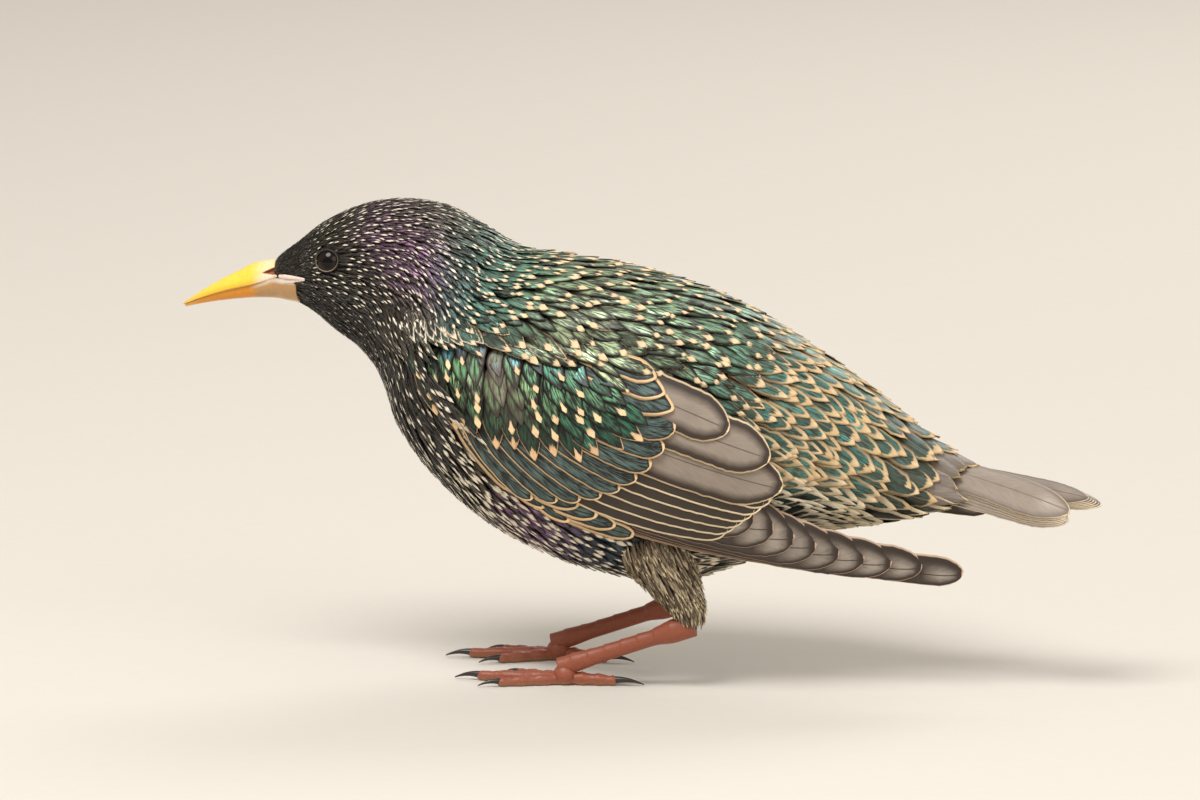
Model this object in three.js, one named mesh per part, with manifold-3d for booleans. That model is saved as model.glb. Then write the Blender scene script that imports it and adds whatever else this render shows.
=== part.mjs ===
// A common starling in its spotted plumage, standing still, at life size.
// Millimetres. The bill points along -X, the tail along +X, the bird's left side is -Y,
// and the soles of its feet lie on z = 0. The body is modelled straight and then leans
// a little to the left towards the tail, as a bird does that shifts its weight.

import * as THREE from 'three';
import { mergeVertices } from 'three/addons/utils/BufferGeometryUtils.js';
import Module from 'manifold-3d';

const wasm = await Module();
wasm.setup();

const gap = 0.3; // between touching pieces
const roomy = 300; // a cutting block that is larger than the bird

// The lean of the body: none at the head, the whole angle behind the shoulders,
// about a straight line that runs down from the shoulders to the tail
const lean = { angle: 10, from: -60, to: 40, axisHeight: 62, axisSlope: -0.18 };

// The body from the bill's root to the end of the tail coverts: a point on the back line,
// a point on the belly line, and half the width between them
const bodyStations = [
  { back: [-83.0, 91.3], belly: [-81.5, 82.1], half: 5 }, // root of the bill
  { back: [-77.6, 95.3], belly: [-77.6, 81.6], half: 8 }, // forehead
  { back: [-71.9, 99.8], belly: [-73.5, 79.5], half: 10.6 }, // eyes
  { back: [-64.0, 103.6], belly: [-69.0, 75.8], half: 12.2 }, // ear coverts
  { back: [-54.9, 105.3], belly: [-63.4, 71.9], half: 13.8 }, // back of the crown
  { back: [-44.6, 104.1], belly: [-59.2, 67.0], half: 16.3 }, // nape
  { back: [-35.6, 99.6], belly: [-56.8, 61.8], half: 19.2 }, // foot of the neck
  { back: [-27.8, 95.2], belly: [-53.7, 54.0], half: 23.2 }, // shoulders
  { back: [-18.5, 93.9], belly: [-45.1, 43.2], half: 26.5 }, // breast
  { back: [-4.9, 92.1], belly: [-31.0, 32.1], half: 28.0 }, // widest place
  { back: [11.0, 88.3], belly: [-11.7, 24.1], half: 27.6 }, // belly
  { back: [24.7, 83.0], belly: [8.7, 21.7], half: 25.0 }, // flanks
  { back: [38.3, 75.0], belly: [26.9, 27.7], half: 20.6 }, // rump
  { back: [50.8, 66.5], belly: [41.7, 34.0], half: 15.8 }, // vent
  { back: [62.0, 57.8], belly: [54.4, 37.0], half: 12.2 }, // root of the tail coverts
  { back: [70.0, 52.0], belly: [65.4, 40.2], half: 10.5 }, // middle of the tail coverts
  { back: [77.6, 47.6], belly: [76.0, 43.4], half: 8.6 }, // end of the tail coverts
];
// The tail coverts lie on the rolled tail: how far they roll, and between which stations
const covertRoll = { angle: 20, from: 12.2, to: 14.8 };
const bodySquareness = 2.25; // 2 is a plain oval across
const stepsPerStation = 2;
const bodySides = 26;
const cutStations = { neck: 4.9, torso: 7, tail: 13 }; // where a person would name a new part

// The bill: its ridge, the line between its halves, its lower edge and half its width, with
// the wider half of the jaw where that spreads into the cheeks
const billStations = [
  { x: -76.8, ridge: 91.6, mouth: 87.5, keel: 81.4, half: 4.4, jaw: 8.3 },
  { x: -80.0, ridge: 91.2, mouth: 87.3, keel: 81.9, half: 4.3, jaw: 6.6 },
  { x: -83.0, ridge: 90.9, mouth: 87.0, keel: 82.3, half: 4.1, jaw: 4.5 },
  { x: -87.8, ridge: 90.0, mouth: 85.5, keel: 82.2, half: 3.5 },
  { x: -91.2, ridge: 88.3, mouth: 84.6, keel: 81.9, half: 3.0 },
  { x: -95.8, ridge: 85.9, mouth: 83.3, keel: 81.3, half: 2.3 },
  { x: -100.3, ridge: 83.2, mouth: 81.7, keel: 80.5, half: 1.5 },
  { x: -104.2, ridge: 80.6, mouth: 80.1, keel: 79.6, half: 0.5 },
];
const lowerBillTipX = -103.4; // the upper half reaches past the lower
const lowerBillShare = 0.94; // and is a little wider
const gape = { from: -84, to: -74.3, front: 87.3, corner: 88.0, height: 1.3, proud: 0.35 };
const nostril = { x: -84.4, z: 88.8, long: 2.4, high: 1.1, deep: 0.9, apart: 6.6, slant: 20 };

// The eyes and the ring of each lid
const eye = { x: -68.5, z: 92.2, radius: 3.3, outermost: 12.5 };
const lid = { long: 3.0, high: 2.75, thick: 0.5, out: 11.3, cant: 8, roll: 10 };

// The folded wings: the bend of the wing, the slope of each wing's long axis, and the
// sheet that the feathers lie on, given every 22 mm along the axis
const wrist = { x: -46.7, z: 79.7 };
const wingSlope = { left: 19.6, right: 16.8 };
const wingStep = 22;
const wingReach = [22.8, 28.9, 31.0, 29.2, 25.2, 19.8, 15.5]; // sideways from the middle
const wingMiddle = [0, -6, -8, -5, 0, 3, 4]; // height of the widest line above the axis
const wingCurve = [0.014, 0.014, 0.0135, 0.0135, 0.013, 0.01, 0.006]; // how fast it rounds off
const wingTop = [0, 8, 15.5, 14, 3, -2, -5]; // the closed wing's upper edge
const wingBottom = [-6, -21, -24, -22.5, -18.8, -15.5, -6]; // and its lower edge
const wingCore = { from: 3, to: 86, sunk: 0.35, deep: 8, thin: 1.2, sides: 6, steps: 7 };
const vaneDepth = 0.6;
const vaneTilt = 0.4; // how much higher a vane's outer edge stands than its middle

// Rows of feathers on the wing's sheet. Each runs from its first feather to its last: root and
// tip are places along the axis and above it, layer is how high the vane lies over the sheet,
// and a value in the middle bends the run.
const wingRows = [
  {
    // primaries
    count: 9,
    root: [[34, -9], [34, -20]],
    tip: [[84, -6.8], [110, -13.7], [131, -6.2]],
    half: [8, 7.3, 3.8],
    bow: [-0.3, -2.9],
    layer: [0.4, 0],
    point: 0.5,
  },
  {
    // secondaries
    count: 6,
    root: [[30, -13], [30, -1]],
    tip: [[79.5, -11.5], [86.5, -0.5]],
    half: [4.4, 4.4],
    bow: [-3, -1],
    layer: [0.7, 0.7],
    point: 0.5,
  },
  {
    // tertials
    count: 3,
    root: [[32, -0.5], [33, 5.8], [30, 8.8]],
    tip: [[88, 1.4], [86.3, 8.6], [72.9, 10.2]],
    half: [6.2, 5.0],
    bow: [-0.6, 0.9],
    layer: [1.0, 1.6],
    point: 0.45,
  },
  {
    // greater coverts
    count: 8,
    root: [[22, -17], [27, -6], [27, 6]],
    tip: [[38, -22.5], [60.5, -14], [61.8, 7]],
    half: [3.2, 4.8],
    bow: [-1.5, -1.5],
    layer: [1.55, 1.55],
    point: 0.4,
    short: true,
  },
  {
    // coverts of the primaries
    count: 4,
    root: [[27, -17.5], [27, -19.5]],
    tip: [[48, -19.5], [61, -21.7]],
    half: [2.3, 2.3],
    bow: [-2, -2],
    layer: [1.0, 1.0],
    point: 0.25,
    short: true,
  },
  {
    // the thumb's feathers
    count: 3,
    root: [[18, -15], [18, -15]],
    tip: [[35, -23], [47, -24.4]],
    half: [2.2, 2.2],
    bow: [-1.5, -1.5],
    layer: [1.3, 1.3],
    point: 0.25,
    short: true,
  },
  {
    // median coverts
    count: 8,
    root: [[10, -9], [16, -2], [20, 6]],
    tip: [[23, -19.5], [47, -14], [52.5, 9]],
    half: [3.4, 3.4],
    bow: [-1, -1],
    layer: [2.0, 2.0],
    point: 0.3,
    short: true,
  },
];

// Every vane tapers to its tip the same way, a short one in fewer steps
const vaneStops = [0, 0.3, 0.6, 0.82, 0.94, 1];
const vaneWidths = [0.55, 1, 1, 0.9, 0.62];
const shortStops = [0, 0.5, 0.86, 1];
const shortWidths = [0.6, 1, 0.85];

// The tail's sheet, a rolled and shallow roof, and the rows of its two halves. The left half
// lies over the right one, which reaches further back.
const tail = { x: 47, z: 50.9, slope: 8.3, roll: 21, roof: 0.028, thick: 0.6 };
const tailRows = [
  {
    // right half
    count: 6,
    root: [[6, 3.5], [6, 4.5]],
    tip: [[54, 1.6], [57, 0.8]],
    half: [4.6, 4.2],
    bow: [0.6, 0.6],
    layer: [-0.9, -1.6],
    tilt: 0.1,
    point: 0.4,
  },
  {
    // left half
    count: 6,
    root: [[6, 4.2], [6, -2]],
    tip: [[50.5, -4.2], [50.5, -5.4]],
    half: [4.8, 3.8],
    bow: [0.9, 0],
    layer: [0, -0.75],
    tilt: -0.1,
    point: 0.4,
  },
];

// The legs, from the thigh in its feathers down to the toes
const stance = { left: { y: -15, forward: 0 }, right: { y: 15, forward: 8 } };
const thighStations = [
  { x: 2.0, z: 40, radius: 9, inward: 5 },
  { x: 6.0, z: 31, radius: 8.4, inward: 2 },
  { x: 9.8, z: 25, radius: 6.6, inward: 0.5 },
  { x: 12.6, z: 20.5, radius: 5.1, inward: 0 },
  { x: 14.2, z: 16.6, radius: 3.9, inward: 0 },
  { x: 14.6, z: 13.6, radius: 2.6, inward: 0 },
];
const ankle = { x: 13.6, z: 14.0, radius: 2.2 };
const footJoint = { x: -14.2, z: 4.2, radius: 1.75 };
const tarsusMiddle = 1.5;
const tarsusDepth = 1.18; // deeper fore and aft than it is wide
const toes = [
  { heading: 176, length: 20, claw: 5.4, radius: 1.55 }, // middle
  { heading: 150, length: 14, claw: 4.6, radius: 1.45 }, // inner
  { heading: 203, length: 15, claw: 4.6, radius: 1.4 }, // outer
  { heading: 4, length: 11.5, claw: 6.2, radius: 1.6 }, // hind
];
const toeSides = 7;
const toeTaper = 0.3;
const footBall = { radius: 2.7, height: 2.2 };

// Finishes
const finishes = {
  plumage: new THREE.MeshStandardMaterial({ color: '#23282a', roughness: 0.6, metalness: 0 }),
  flight: new THREE.MeshStandardMaterial({ color: '#6d6259', roughness: 0.6, metalness: 0 }),
  bill: new THREE.MeshStandardMaterial({ color: '#e8b23c', roughness: 0.35, metalness: 0 }),
  eye: new THREE.MeshStandardMaterial({ color: '#1c1210', roughness: 0.08, metalness: 0 }),
  thigh: new THREE.MeshStandardMaterial({ color: '#8b7c66', roughness: 0.8, metalness: 0 }),
  leg: new THREE.MeshStandardMaterial({ color: '#a4553a', roughness: 0.5, metalness: 0 }),
};

const degrees = Math.PI / 180;

// A smooth run through values that stand at 0, 1, 2 and so on
function spline(values, at) {
  const i = Math.max(0, Math.min(Math.floor(at), values.length - 2));
  const t = at - i;
  const here = values[i];
  const next = values[i + 1];
  const before = i > 0 ? values[i - 1] : 2 * here - next;
  const after = i < values.length - 2 ? values[i + 2] : 2 * next - here;
  const bend = 2 * before - 5 * here + 4 * next - after;
  const twist = 3 * (here - next) + after - before;
  return here + 0.5 * t * (next - before + t * (bend + t * twist));
}

function leaned(x, y, z) {
  const share = THREE.MathUtils.smoothstep(x, lean.from, lean.to);
  const turn = lean.angle * share * degrees;
  const axisZ = lean.axisHeight + lean.axisSlope * x;
  const up = z - axisZ;
  return new THREE.Vector3(
    x,
    y * Math.cos(turn) - up * Math.sin(turn),
    axisZ + y * Math.sin(turn) + up * Math.cos(turn),
  );
}

// Booleans work on welded, closed meshes
function solidOf(geometry) {
  const bare = geometry.clone();
  bare.deleteAttribute('normal');
  bare.deleteAttribute('uv');
  const welded = mergeVertices(bare, 1e-4);
  return new wasm.Manifold(
    new wasm.Mesh({
      numProp: 3,
      vertProperties: new Float32Array(welded.attributes.position.array),
      triVerts: new Uint32Array(welded.index.array),
    }),
  );
}

// Rings of equally many points, closed at both ends, which run anticlockwise seen from the far end
function loft(rings) {
  const sides = rings[0].length;
  const positions = rings.flat();
  const faces = [];
  for (let k = 0; k + 1 < rings.length; k += 1) {
    for (let j = 0; j < sides; j += 1) {
      const a = k * sides + j;
      const b = k * sides + ((j + 1) % sides);
      faces.push(a, b, b + sides, a, b + sides, a + sides);
    }
  }
  [rings[0], rings.at(-1)].forEach((ring, end) => {
    const middle = positions.length;
    const start = end * (rings.length - 1) * sides;
    positions.push(ring.reduce((sum, p) => sum.add(p), new THREE.Vector3()).divideScalar(sides));
    for (let j = 0; j < sides; j += 1) {
      const a = start + j;
      const b = start + ((j + 1) % sides);
      faces.push(...(end ? [middle, a, b] : [middle, b, a]));
    }
  });
  const geometry = new THREE.BufferGeometry().setFromPoints(positions);
  geometry.setIndex(faces);
  return outward(geometry);
}

// The same mesh with its faces pointing out
function outward(geometry) {
  const p = geometry.attributes.position;
  const index = geometry.index.array;
  const [a, b, c] = [new THREE.Vector3(), new THREE.Vector3(), new THREE.Vector3()];
  let volume = 0;
  for (let i = 0; i < index.length; i += 3) {
    a.fromBufferAttribute(p, index[i]);
    b.fromBufferAttribute(p, index[i + 1]);
    c.fromBufferAttribute(p, index[i + 2]);
    volume += a.dot(b.cross(c));
  }
  if (volume < 0) geometry.index.array.reverse();
  return geometry;
}

// A union or a cut can leave a scrap or a sealed hollow: only the largest surface counts
function largest(solid) {
  const pieces = solid.decompose();
  return pieces.reduce((best, piece) => (piece.volume() > best.volume() ? piece : best));
}

function named(name, solid, material) {
  const { vertProperties, triVerts } = solid.getMesh();
  const geometry = new THREE.BufferGeometry();
  geometry.setAttribute('position', new THREE.BufferAttribute(vertProperties, 3));
  geometry.setIndex(new THREE.BufferAttribute(triVerts, 1));
  const mesh = new THREE.Mesh(geometry, material);
  mesh.name = name;
  return mesh;
}

// A point on the body's surface: station, turn from the back line, and how far outside it
function bodyPoint(at, turn, grow) {
  const backX = spline(bodyStations.map((s) => s.back[0]), at);
  const backZ = spline(bodyStations.map((s) => s.back[1]), at);
  const bellyX = spline(bodyStations.map((s) => s.belly[0]), at);
  const bellyZ = spline(bodyStations.map((s) => s.belly[1]), at);
  const half = spline(bodyStations.map((s) => s.half), at) + grow;
  const height = Math.hypot(backX - bellyX, backZ - bellyZ);
  const reach = (height / 2 + grow) / height;
  const round = (v) => Math.sign(v) * Math.abs(v) ** (2 / bodySquareness);
  const down = 0.5 - round(Math.cos(turn)) * reach;
  const share = THREE.MathUtils.smoothstep(at, covertRoll.from, covertRoll.to);
  const roll = covertRoll.angle * share * degrees;
  const y = half * round(Math.sin(turn));
  const up = (backZ - bellyZ) * (0.5 - down);
  return leaned(
    backX + (bellyX - backX) * down,
    y * Math.cos(roll) - up * Math.sin(roll),
    (backZ + bellyZ) / 2 + y * Math.sin(roll) + up * Math.cos(roll),
  );
}

function body(grow) {
  const last = bodyStations.length - 1;
  const steps = last * stepsPerStation;
  const rings = [];
  for (let k = 0; k <= steps; k += 1) {
    const ring = [];
    for (let j = 0; j < bodySides; j += 1) {
      ring.push(bodyPoint((k / steps) * last, (j / bodySides) * 2 * Math.PI, grow));
    }
    rings.push(ring);
  }
  return solidOf(loft(rings));
}

// A thin slab across the body at a station
function partingSlab(at) {
  const back = bodyPoint(at, 0, 0);
  const belly = bodyPoint(at, Math.PI, 0);
  const slab = new THREE.BoxGeometry(gap, roomy, roomy);
  slab.rotateY(Math.atan2(back.x - belly.x, back.z - belly.z));
  slab.translate((back.x + belly.x) / 2, 0, (back.z + belly.z) / 2);
  return solidOf(slab);
}

// The head, neck, torso and tail coverts: one form, parted by thin cuts, in order from the bill
function partedBody() {
  let whole = body(0);
  Object.values(cutStations).forEach((at) => {
    whole = whole.subtract(partingSlab(at));
  });
  const pieces = whole.decompose();
  return pieces.sort((a, b) => a.boundingBox().min[0] - b.boundingBox().min[0]);
}

// Half of the bill: an arch over a flat that lies on the line of the mouth
function billHalf(upper, grow) {
  const rings = billStations.map((s, k) => {
    const sign = upper ? 1 : -1;
    const flat = s.mouth + (sign * gap) / 2 - sign * grow;
    const edge = (upper ? s.ridge : s.keel) + sign * grow;
    const half = (upper ? s.half : s.jaw ?? s.half * lowerBillShare) + grow;
    let x = s.x;
    if (k === billStations.length - 1) x = (upper ? s.x : lowerBillTipX) - grow;
    if (k === 0) x += grow;
    const ring = [];
    for (let j = 0; j <= 8; j += 1) {
      const turn = (j / 8) * Math.PI;
      const rise = Math.sin(turn) ** 0.9;
      const out = Math.sign(Math.cos(turn)) * Math.abs(Math.cos(turn)) ** 0.8;
      ring.push(new THREE.Vector3(x, half * out, flat + (edge - flat) * rise));
    }
    return ring;
  });
  return solidOf(loft(rings));
}

// How far the bare head reaches sideways at a place
function headHalf(x, z) {
  let [low, high] = [0, 6];
  const halvings = 30;
  for (let k = 0; k < halvings; k += 1) {
    const at = (low + high) / 2;
    const back = bodyPoint(at, 0, 0);
    const belly = bodyPoint(at, Math.PI, 0);
    const down = (back.z - z) / (back.z - belly.z);
    if (back.x + (belly.x - back.x) * down < x) low = at;
    else high = at;
  }
  const back = bodyPoint(low, 0, 0);
  const belly = bodyPoint(low, Math.PI, 0);
  const down = THREE.MathUtils.clamp((back.z - z) / (back.z - belly.z), 0, 1);
  const rise = Math.abs(2 * down - 1) ** bodySquareness;
  return spline(bodyStations.map((s) => s.half), low) * (1 - rise) ** (1 / bodySquareness);
}

// The soft edge of the mouth, a low ridge from the bill to the corner below the eye
function gapeFlange(upper, grow) {
  const steps = 5;
  const rings = [];
  for (let k = 0; k <= steps; k += 1) {
    const share = k / steps;
    const x = gape.from + (gape.to - gape.from) * share + (k === steps ? grow : 0);
    const mouth = gape.front + (gape.corner - gape.front) * share;
    const sign = upper ? 1 : -1;
    const height = gape.height * (1 - 0.75 * share) + 2 * grow;
    const low = mouth + (sign * gap) / 2 - sign * grow;
    const out = Math.max(headHalf(x, mouth), 4) + gape.proud + grow;
    rings.push([
      new THREE.Vector3(x, -out, low),
      new THREE.Vector3(x, -out + 0.3, low + sign * height),
      new THREE.Vector3(x, out - 0.3, low + sign * height),
      new THREE.Vector3(x, out, low),
    ]);
  }
  return solidOf(loft(rings));
}

function nostrils() {
  const pits = [-1, 1].map((side) => {
    const pit = new THREE.SphereGeometry(1, 10, 6);
    pit.scale(nostril.long / 2, nostril.deep, nostril.high / 2);
    pit.rotateY(nostril.slant * degrees);
    pit.translate(nostril.x, (side * nostril.apart) / 2, nostril.z);
    return solidOf(pit);
  });
  return pits[0].add(pits[1]);
}

function bills() {
  const upper = (grow) => largest(billHalf(true, grow).add(gapeFlange(true, grow)));
  const lower = (grow) => largest(billHalf(false, grow).add(gapeFlange(false, grow)));
  return {
    upper: largest(upper(0).subtract(nostrils()).subtract(lower(gap * 0.9))),
    lower: lower(0),
    room: upper(gap).add(lower(gap)),
  };
}

function eyeBall(side, grow) {
  const ball = new THREE.IcosahedronGeometry(eye.radius + grow, 2);
  ball.translate(eye.x, side * (eye.outermost - eye.radius), eye.z);
  return solidOf(ball);
}

function eyeLid(side) {
  const ring = new THREE.TorusGeometry(1, lid.thick / lid.high, 5, 18);
  ring.scale(lid.long, lid.high, lid.high);
  ring.rotateX(Math.PI / 2 + side * lid.roll * degrees);
  ring.rotateZ(side * lid.cant * degrees);
  ring.translate(eye.x, side * lid.out, eye.z);
  return solidOf(ring);
}

function headWith(face, billRoom) {
  let head = face;
  [-1, 1].forEach((side) => {
    head = head.add(eyeLid(side));
  });
  [-1, 1].forEach((side) => {
    head = head.subtract(eyeBall(side, gap));
  });
  return largest(head.subtract(billRoom));
}

// A vane along a bowed middle line on a sheet, tilted like a shingle so that its outer edge
// stands over the next one. place(along, across, out) gives the point in space.
function vane(place, feather) {
  const { root, tip, half, layer, bow, point, tilt = vaneTilt } = feather;
  const { depth = vaneDepth, short = false } = feather;
  const stops = short ? shortStops : vaneStops;
  const widths = [...(short ? shortWidths : vaneWidths), point];
  const run = [tip[0] - root[0], tip[1] - root[1]];
  const length = Math.hypot(...run);
  const side = [-run[1] / length, run[0] / length];
  const rings = stops.map((s, k) => {
    const middle = [
      root[0] + run[0] * s + side[0] * bow * 4 * s * (1 - s),
      root[1] + run[1] * s + side[1] * bow * 4 * s * (1 - s),
    ];
    const reach = half * widths[k];
    const lift = layer * Math.min(1, 0.2 + s * 4);
    const edge = (across, out) =>
      place(middle[0] + side[0] * across, middle[1] + side[1] * across, out);
    const outerEdge = lift + tilt * widths[k];
    const innerEdge = lift - tilt * widths[k];
    return [
      edge(-reach, outerEdge),
      edge(reach, innerEdge),
      edge(reach, Math.min(innerEdge, 0) - depth),
      edge(-reach, Math.min(outerEdge, 0) - depth),
    ];
  });
  return solidOf(loft(rings));
}

// From the wing's own sheet to space: along the axis, above it, and out from the sheet
function wingPlace(name) {
  const side = name === 'left' ? -1 : 1;
  const slope = wingSlope[name] * degrees;
  return (along, above, out) => {
    const at = Math.max(0, Math.min(along / wingStep, wingReach.length - 1));
    const off = above - spline(wingMiddle, at);
    const reach = spline(wingReach, at) - spline(wingCurve, at) * off * off + out;
    return leaned(
      wrist.x + along * Math.cos(slope) + above * Math.sin(slope),
      side * reach,
      wrist.z - along * Math.sin(slope) + above * Math.cos(slope),
    );
  };
}

const mix = (a, b, share) => a + (b - a) * share;

// What a run of two or three values comes to at a share of its length
function blended(run, share) {
  if (run.length < 3) return mix(run[0], run[1], share);
  return mix(mix(run[0], run[1], share), mix(run[1], run[2], share), share);
}

function vanesOf(row) {
  const { count, root, tip, half, bow, layer, ...rest } = row;
  return Array.from({ length: count }, (_, i) => {
    const share = i / (count - 1);
    const place = (run) => [0, 1].map((k) => blended(run.map((p) => p[k]), share));
    return {
      ...rest,
      root: place(root),
      tip: place(tip),
      half: blended(half, share),
      bow: blended(bow, share),
      layer: blended(layer, share),
    };
  });
}

// The flesh and the hidden roots that the feathers grow from
function wingFlesh(place) {
  const rings = [];
  for (let k = 0; k <= wingCore.steps; k += 1) {
    const along = mix(wingCore.from, wingCore.to, k / wingCore.steps);
    const top = spline(wingTop, along / wingStep) - 1.5;
    const bottom = spline(wingBottom, along / wingStep) + 1.5;
    const deep = mix(wingCore.deep, wingCore.thin, THREE.MathUtils.smoothstep(along, 50, 80));
    const ring = [];
    for (let j = 0; j <= wingCore.sides; j += 1) {
      ring.push(place(along, mix(bottom, top, j / wingCore.sides), -wingCore.sunk));
    }
    for (let j = wingCore.sides; j >= 0; j -= 1) {
      ring.push(place(along, mix(bottom, top, j / wingCore.sides), -wingCore.sunk - deep));
    }
    rings.push(ring);
  }
  return solidOf(loft(rings));
}

function wing(name, bodyRoom) {
  const place = wingPlace(name);
  const pieces = wingRows.flatMap(vanesOf).map((v) => vane(place, v));
  const all = wasm.Manifold.union([wingFlesh(place), ...pieces]);
  return largest(all.subtract(bodyRoom));
}

// Along the tail, across it, and above its sheet
function tailPlace(along, across, out) {
  const slope = tail.slope * degrees;
  const lift = across * Math.tan(tail.roll * degrees) - tail.roof * across * across;
  return leaned(
    tail.x + along * Math.cos(slope) + out * Math.sin(slope),
    across,
    tail.z - along * Math.sin(slope) + lift + out * Math.cos(slope),
  );
}

function tailWith(coverts) {
  const pieces = tailRows.flatMap(vanesOf).map((v) => vane(tailPlace, { ...v, depth: tail.thick }));
  return largest(wasm.Manifold.union([coverts, ...pieces]));
}

// A round limb along a line of centres, with its own depth fore and aft
function limb(stations, sides, depth = 1) {
  const rings = stations.map((s, k) => {
    const before = stations[Math.max(0, k - 1)];
    const after = stations[Math.min(stations.length - 1, k + 1)];
    const run = new THREE.Vector3(after.x - before.x, after.y - before.y, after.z - before.z);
    run.normalize();
    const across = new THREE.Vector3(0, 1, 0).addScaledVector(run, -run.y);
    if (Math.abs(run.y) > 0.9) across.set(1, 0, 0);
    across.normalize();
    const fore = new THREE.Vector3().crossVectors(run, across);
    const ring = [];
    for (let j = 0; j < sides; j += 1) {
      const turn = ((j + 0.5) / sides) * 2 * Math.PI;
      ring.push(
        new THREE.Vector3(s.x, s.y, s.z)
          .addScaledVector(across, s.radius * Math.cos(turn))
          .addScaledVector(fore, s.radius * depth * Math.sin(turn)),
      );
    }
    return ring;
  });
  return solidOf(loft(rings));
}

const shifted = (leg, s) => ({
  ...s,
  x: s.x - leg.forward,
  y: leg.y - Math.sign(leg.y) * (s.inward ?? 0),
});

function thigh(leg, grow) {
  const stations = thighStations.map((s) => ({ ...shifted(leg, s), radius: s.radius + grow }));
  const last = stations.at(-1);
  stations[stations.length - 1] = { ...last, z: last.z - grow };
  return limb(stations, 14, 1.05);
}

function tarsus(leg, grow) {
  const ends = [shifted(leg, ankle), shifted(leg, footJoint)];
  const stations = [0, 0.12, 0.3, 0.7, 0.9, 1].map((share, k) => {
    const slim = [1, 0.95, 0, 0, 0.95, 1][k];
    const end = share < 0.5 ? ends[0] : ends[1];
    const over = (share === 0 ? -grow : 0) + (share === 1 ? grow : 0);
    return {
      x: mix(ends[0].x, ends[1].x, share) - over,
      y: leg.y,
      z: mix(ends[0].z, ends[1].z, share) - over * 0.35,
      radius: mix(tarsusMiddle, end.radius, slim) + grow,
    };
  });
  return limb(stations, 10, tarsusDepth);
}

// A toe lies on the floor with a pad under each joint, and its claw arches down to the floor
function toe(leg, kind) {
  const side = Math.sign(leg.y);
  const heading = kind.heading * degrees;
  const forward = [Math.cos(heading), -side * Math.sin(heading)];
  const start = [footJoint.x - leg.forward, leg.y];
  const at = (reach, z, radius) => ({
    x: start[0] + forward[0] * reach,
    y: start[1] + forward[1] * reach,
    z,
    radius,
  });
  const stations = [];
  const steps = 6;
  for (let k = 0; k <= steps; k += 1) {
    const share = k / steps;
    const pad = 1 + 0.1 * Math.cos(share * steps * Math.PI);
    const radius = kind.radius * (1 - toeTaper * share) * pad;
    stations.push(at(kind.length * share, radius * 0.86, radius));
  }
  const nailBase = kind.radius * 0.62;
  const nail = [0, 0.3, 0.6, 0.85, 1].map((share) =>
    at(
      kind.length - 0.8 + (kind.claw + 0.8) * share,
      mix(nailBase, 0.35, share ** 1.6) + 1.5 * share * (1 - share),
      mix(nailBase, 0.22, share),
    ),
  );
  return limb(stations, toeSides).add(limb(nail, 5, 1.15));
}

function foot(leg) {
  const ball = new THREE.IcosahedronGeometry(footBall.radius, 1);
  ball.translate(footJoint.x - leg.forward, leg.y, footBall.height);
  let whole = solidOf(ball);
  toes.forEach((kind) => {
    whole = whole.add(toe(leg, kind));
  });
  const underFloor = new THREE.BoxGeometry(roomy, roomy, roomy);
  underFloor.translate(0, 0, -roomy / 2);
  return largest(whole.subtract(solidOf(underFloor)).subtract(tarsus(leg, gap)));
}

const [face, neck, torso, coverts] = partedBody();
const bill = bills();
const bodyRoom = body(gap * 1.3);

const starling = new THREE.Group();
starling.add(
  named('head', headWith(face, bill.room), finishes.plumage),
  named('neck', neck, finishes.plumage),
  named('torso', torso, finishes.plumage),
  named('tail', tailWith(coverts), finishes.flight),
  named('bill_upper', bill.upper, finishes.bill),
  named('bill_lower', bill.lower, finishes.bill),
);
[
  ['left', -1],
  ['right', 1],
].forEach(([name, side]) => {
  const leg = stance[name];
  starling.add(
    named(`eye_${name}`, eyeBall(side, 0), finishes.eye),
    named(`wing_${name}`, wing(name, bodyRoom), finishes.flight),
    named(`thigh_${name}`, largest(thigh(leg, 0).subtract(bodyRoom)), finishes.thigh),
    named(`tarsus_${name}`, largest(tarsus(leg, 0).subtract(thigh(leg, gap))), finishes.leg),
    named(`foot_${name}`, foot(leg), finishes.leg),
  );
});

// The origin is under the middle of the bird, on the floor
const extent = new THREE.Box3().setFromObject(starling);
const middle = extent.getCenter(new THREE.Vector3());
starling.position.set(-middle.x, -middle.y, 0);

export default starling;
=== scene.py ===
"""A common starling in its spotted plumage, at life size, standing and leaning forward.

Lengths are millimetres in the bird's own frame until to_model() turns them into the model's
metres: x runs from the bill to the tail, y from the bird's left to its right, z up from the floor.
The body, wings and tail are shaped straight and then lean a little to the left.
"""

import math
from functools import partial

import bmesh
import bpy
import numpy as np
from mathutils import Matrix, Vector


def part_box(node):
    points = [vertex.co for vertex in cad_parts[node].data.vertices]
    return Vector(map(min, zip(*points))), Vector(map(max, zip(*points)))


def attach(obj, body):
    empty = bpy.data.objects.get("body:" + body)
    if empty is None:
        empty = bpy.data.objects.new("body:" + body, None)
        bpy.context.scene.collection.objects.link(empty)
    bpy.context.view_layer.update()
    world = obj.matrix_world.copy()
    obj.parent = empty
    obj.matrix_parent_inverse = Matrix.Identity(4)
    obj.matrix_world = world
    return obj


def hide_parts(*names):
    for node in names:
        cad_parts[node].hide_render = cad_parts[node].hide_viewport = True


bl_info = {
    "name": "Starling",
    "version": (1, 0, 0),
    "blender": (4, 5, 0),
    "location": "3D View > Sidebar > Starling",
    "description": "Builds a life-size common starling feather by feather around its solids",
    "category": "Add Mesh",
}

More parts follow.
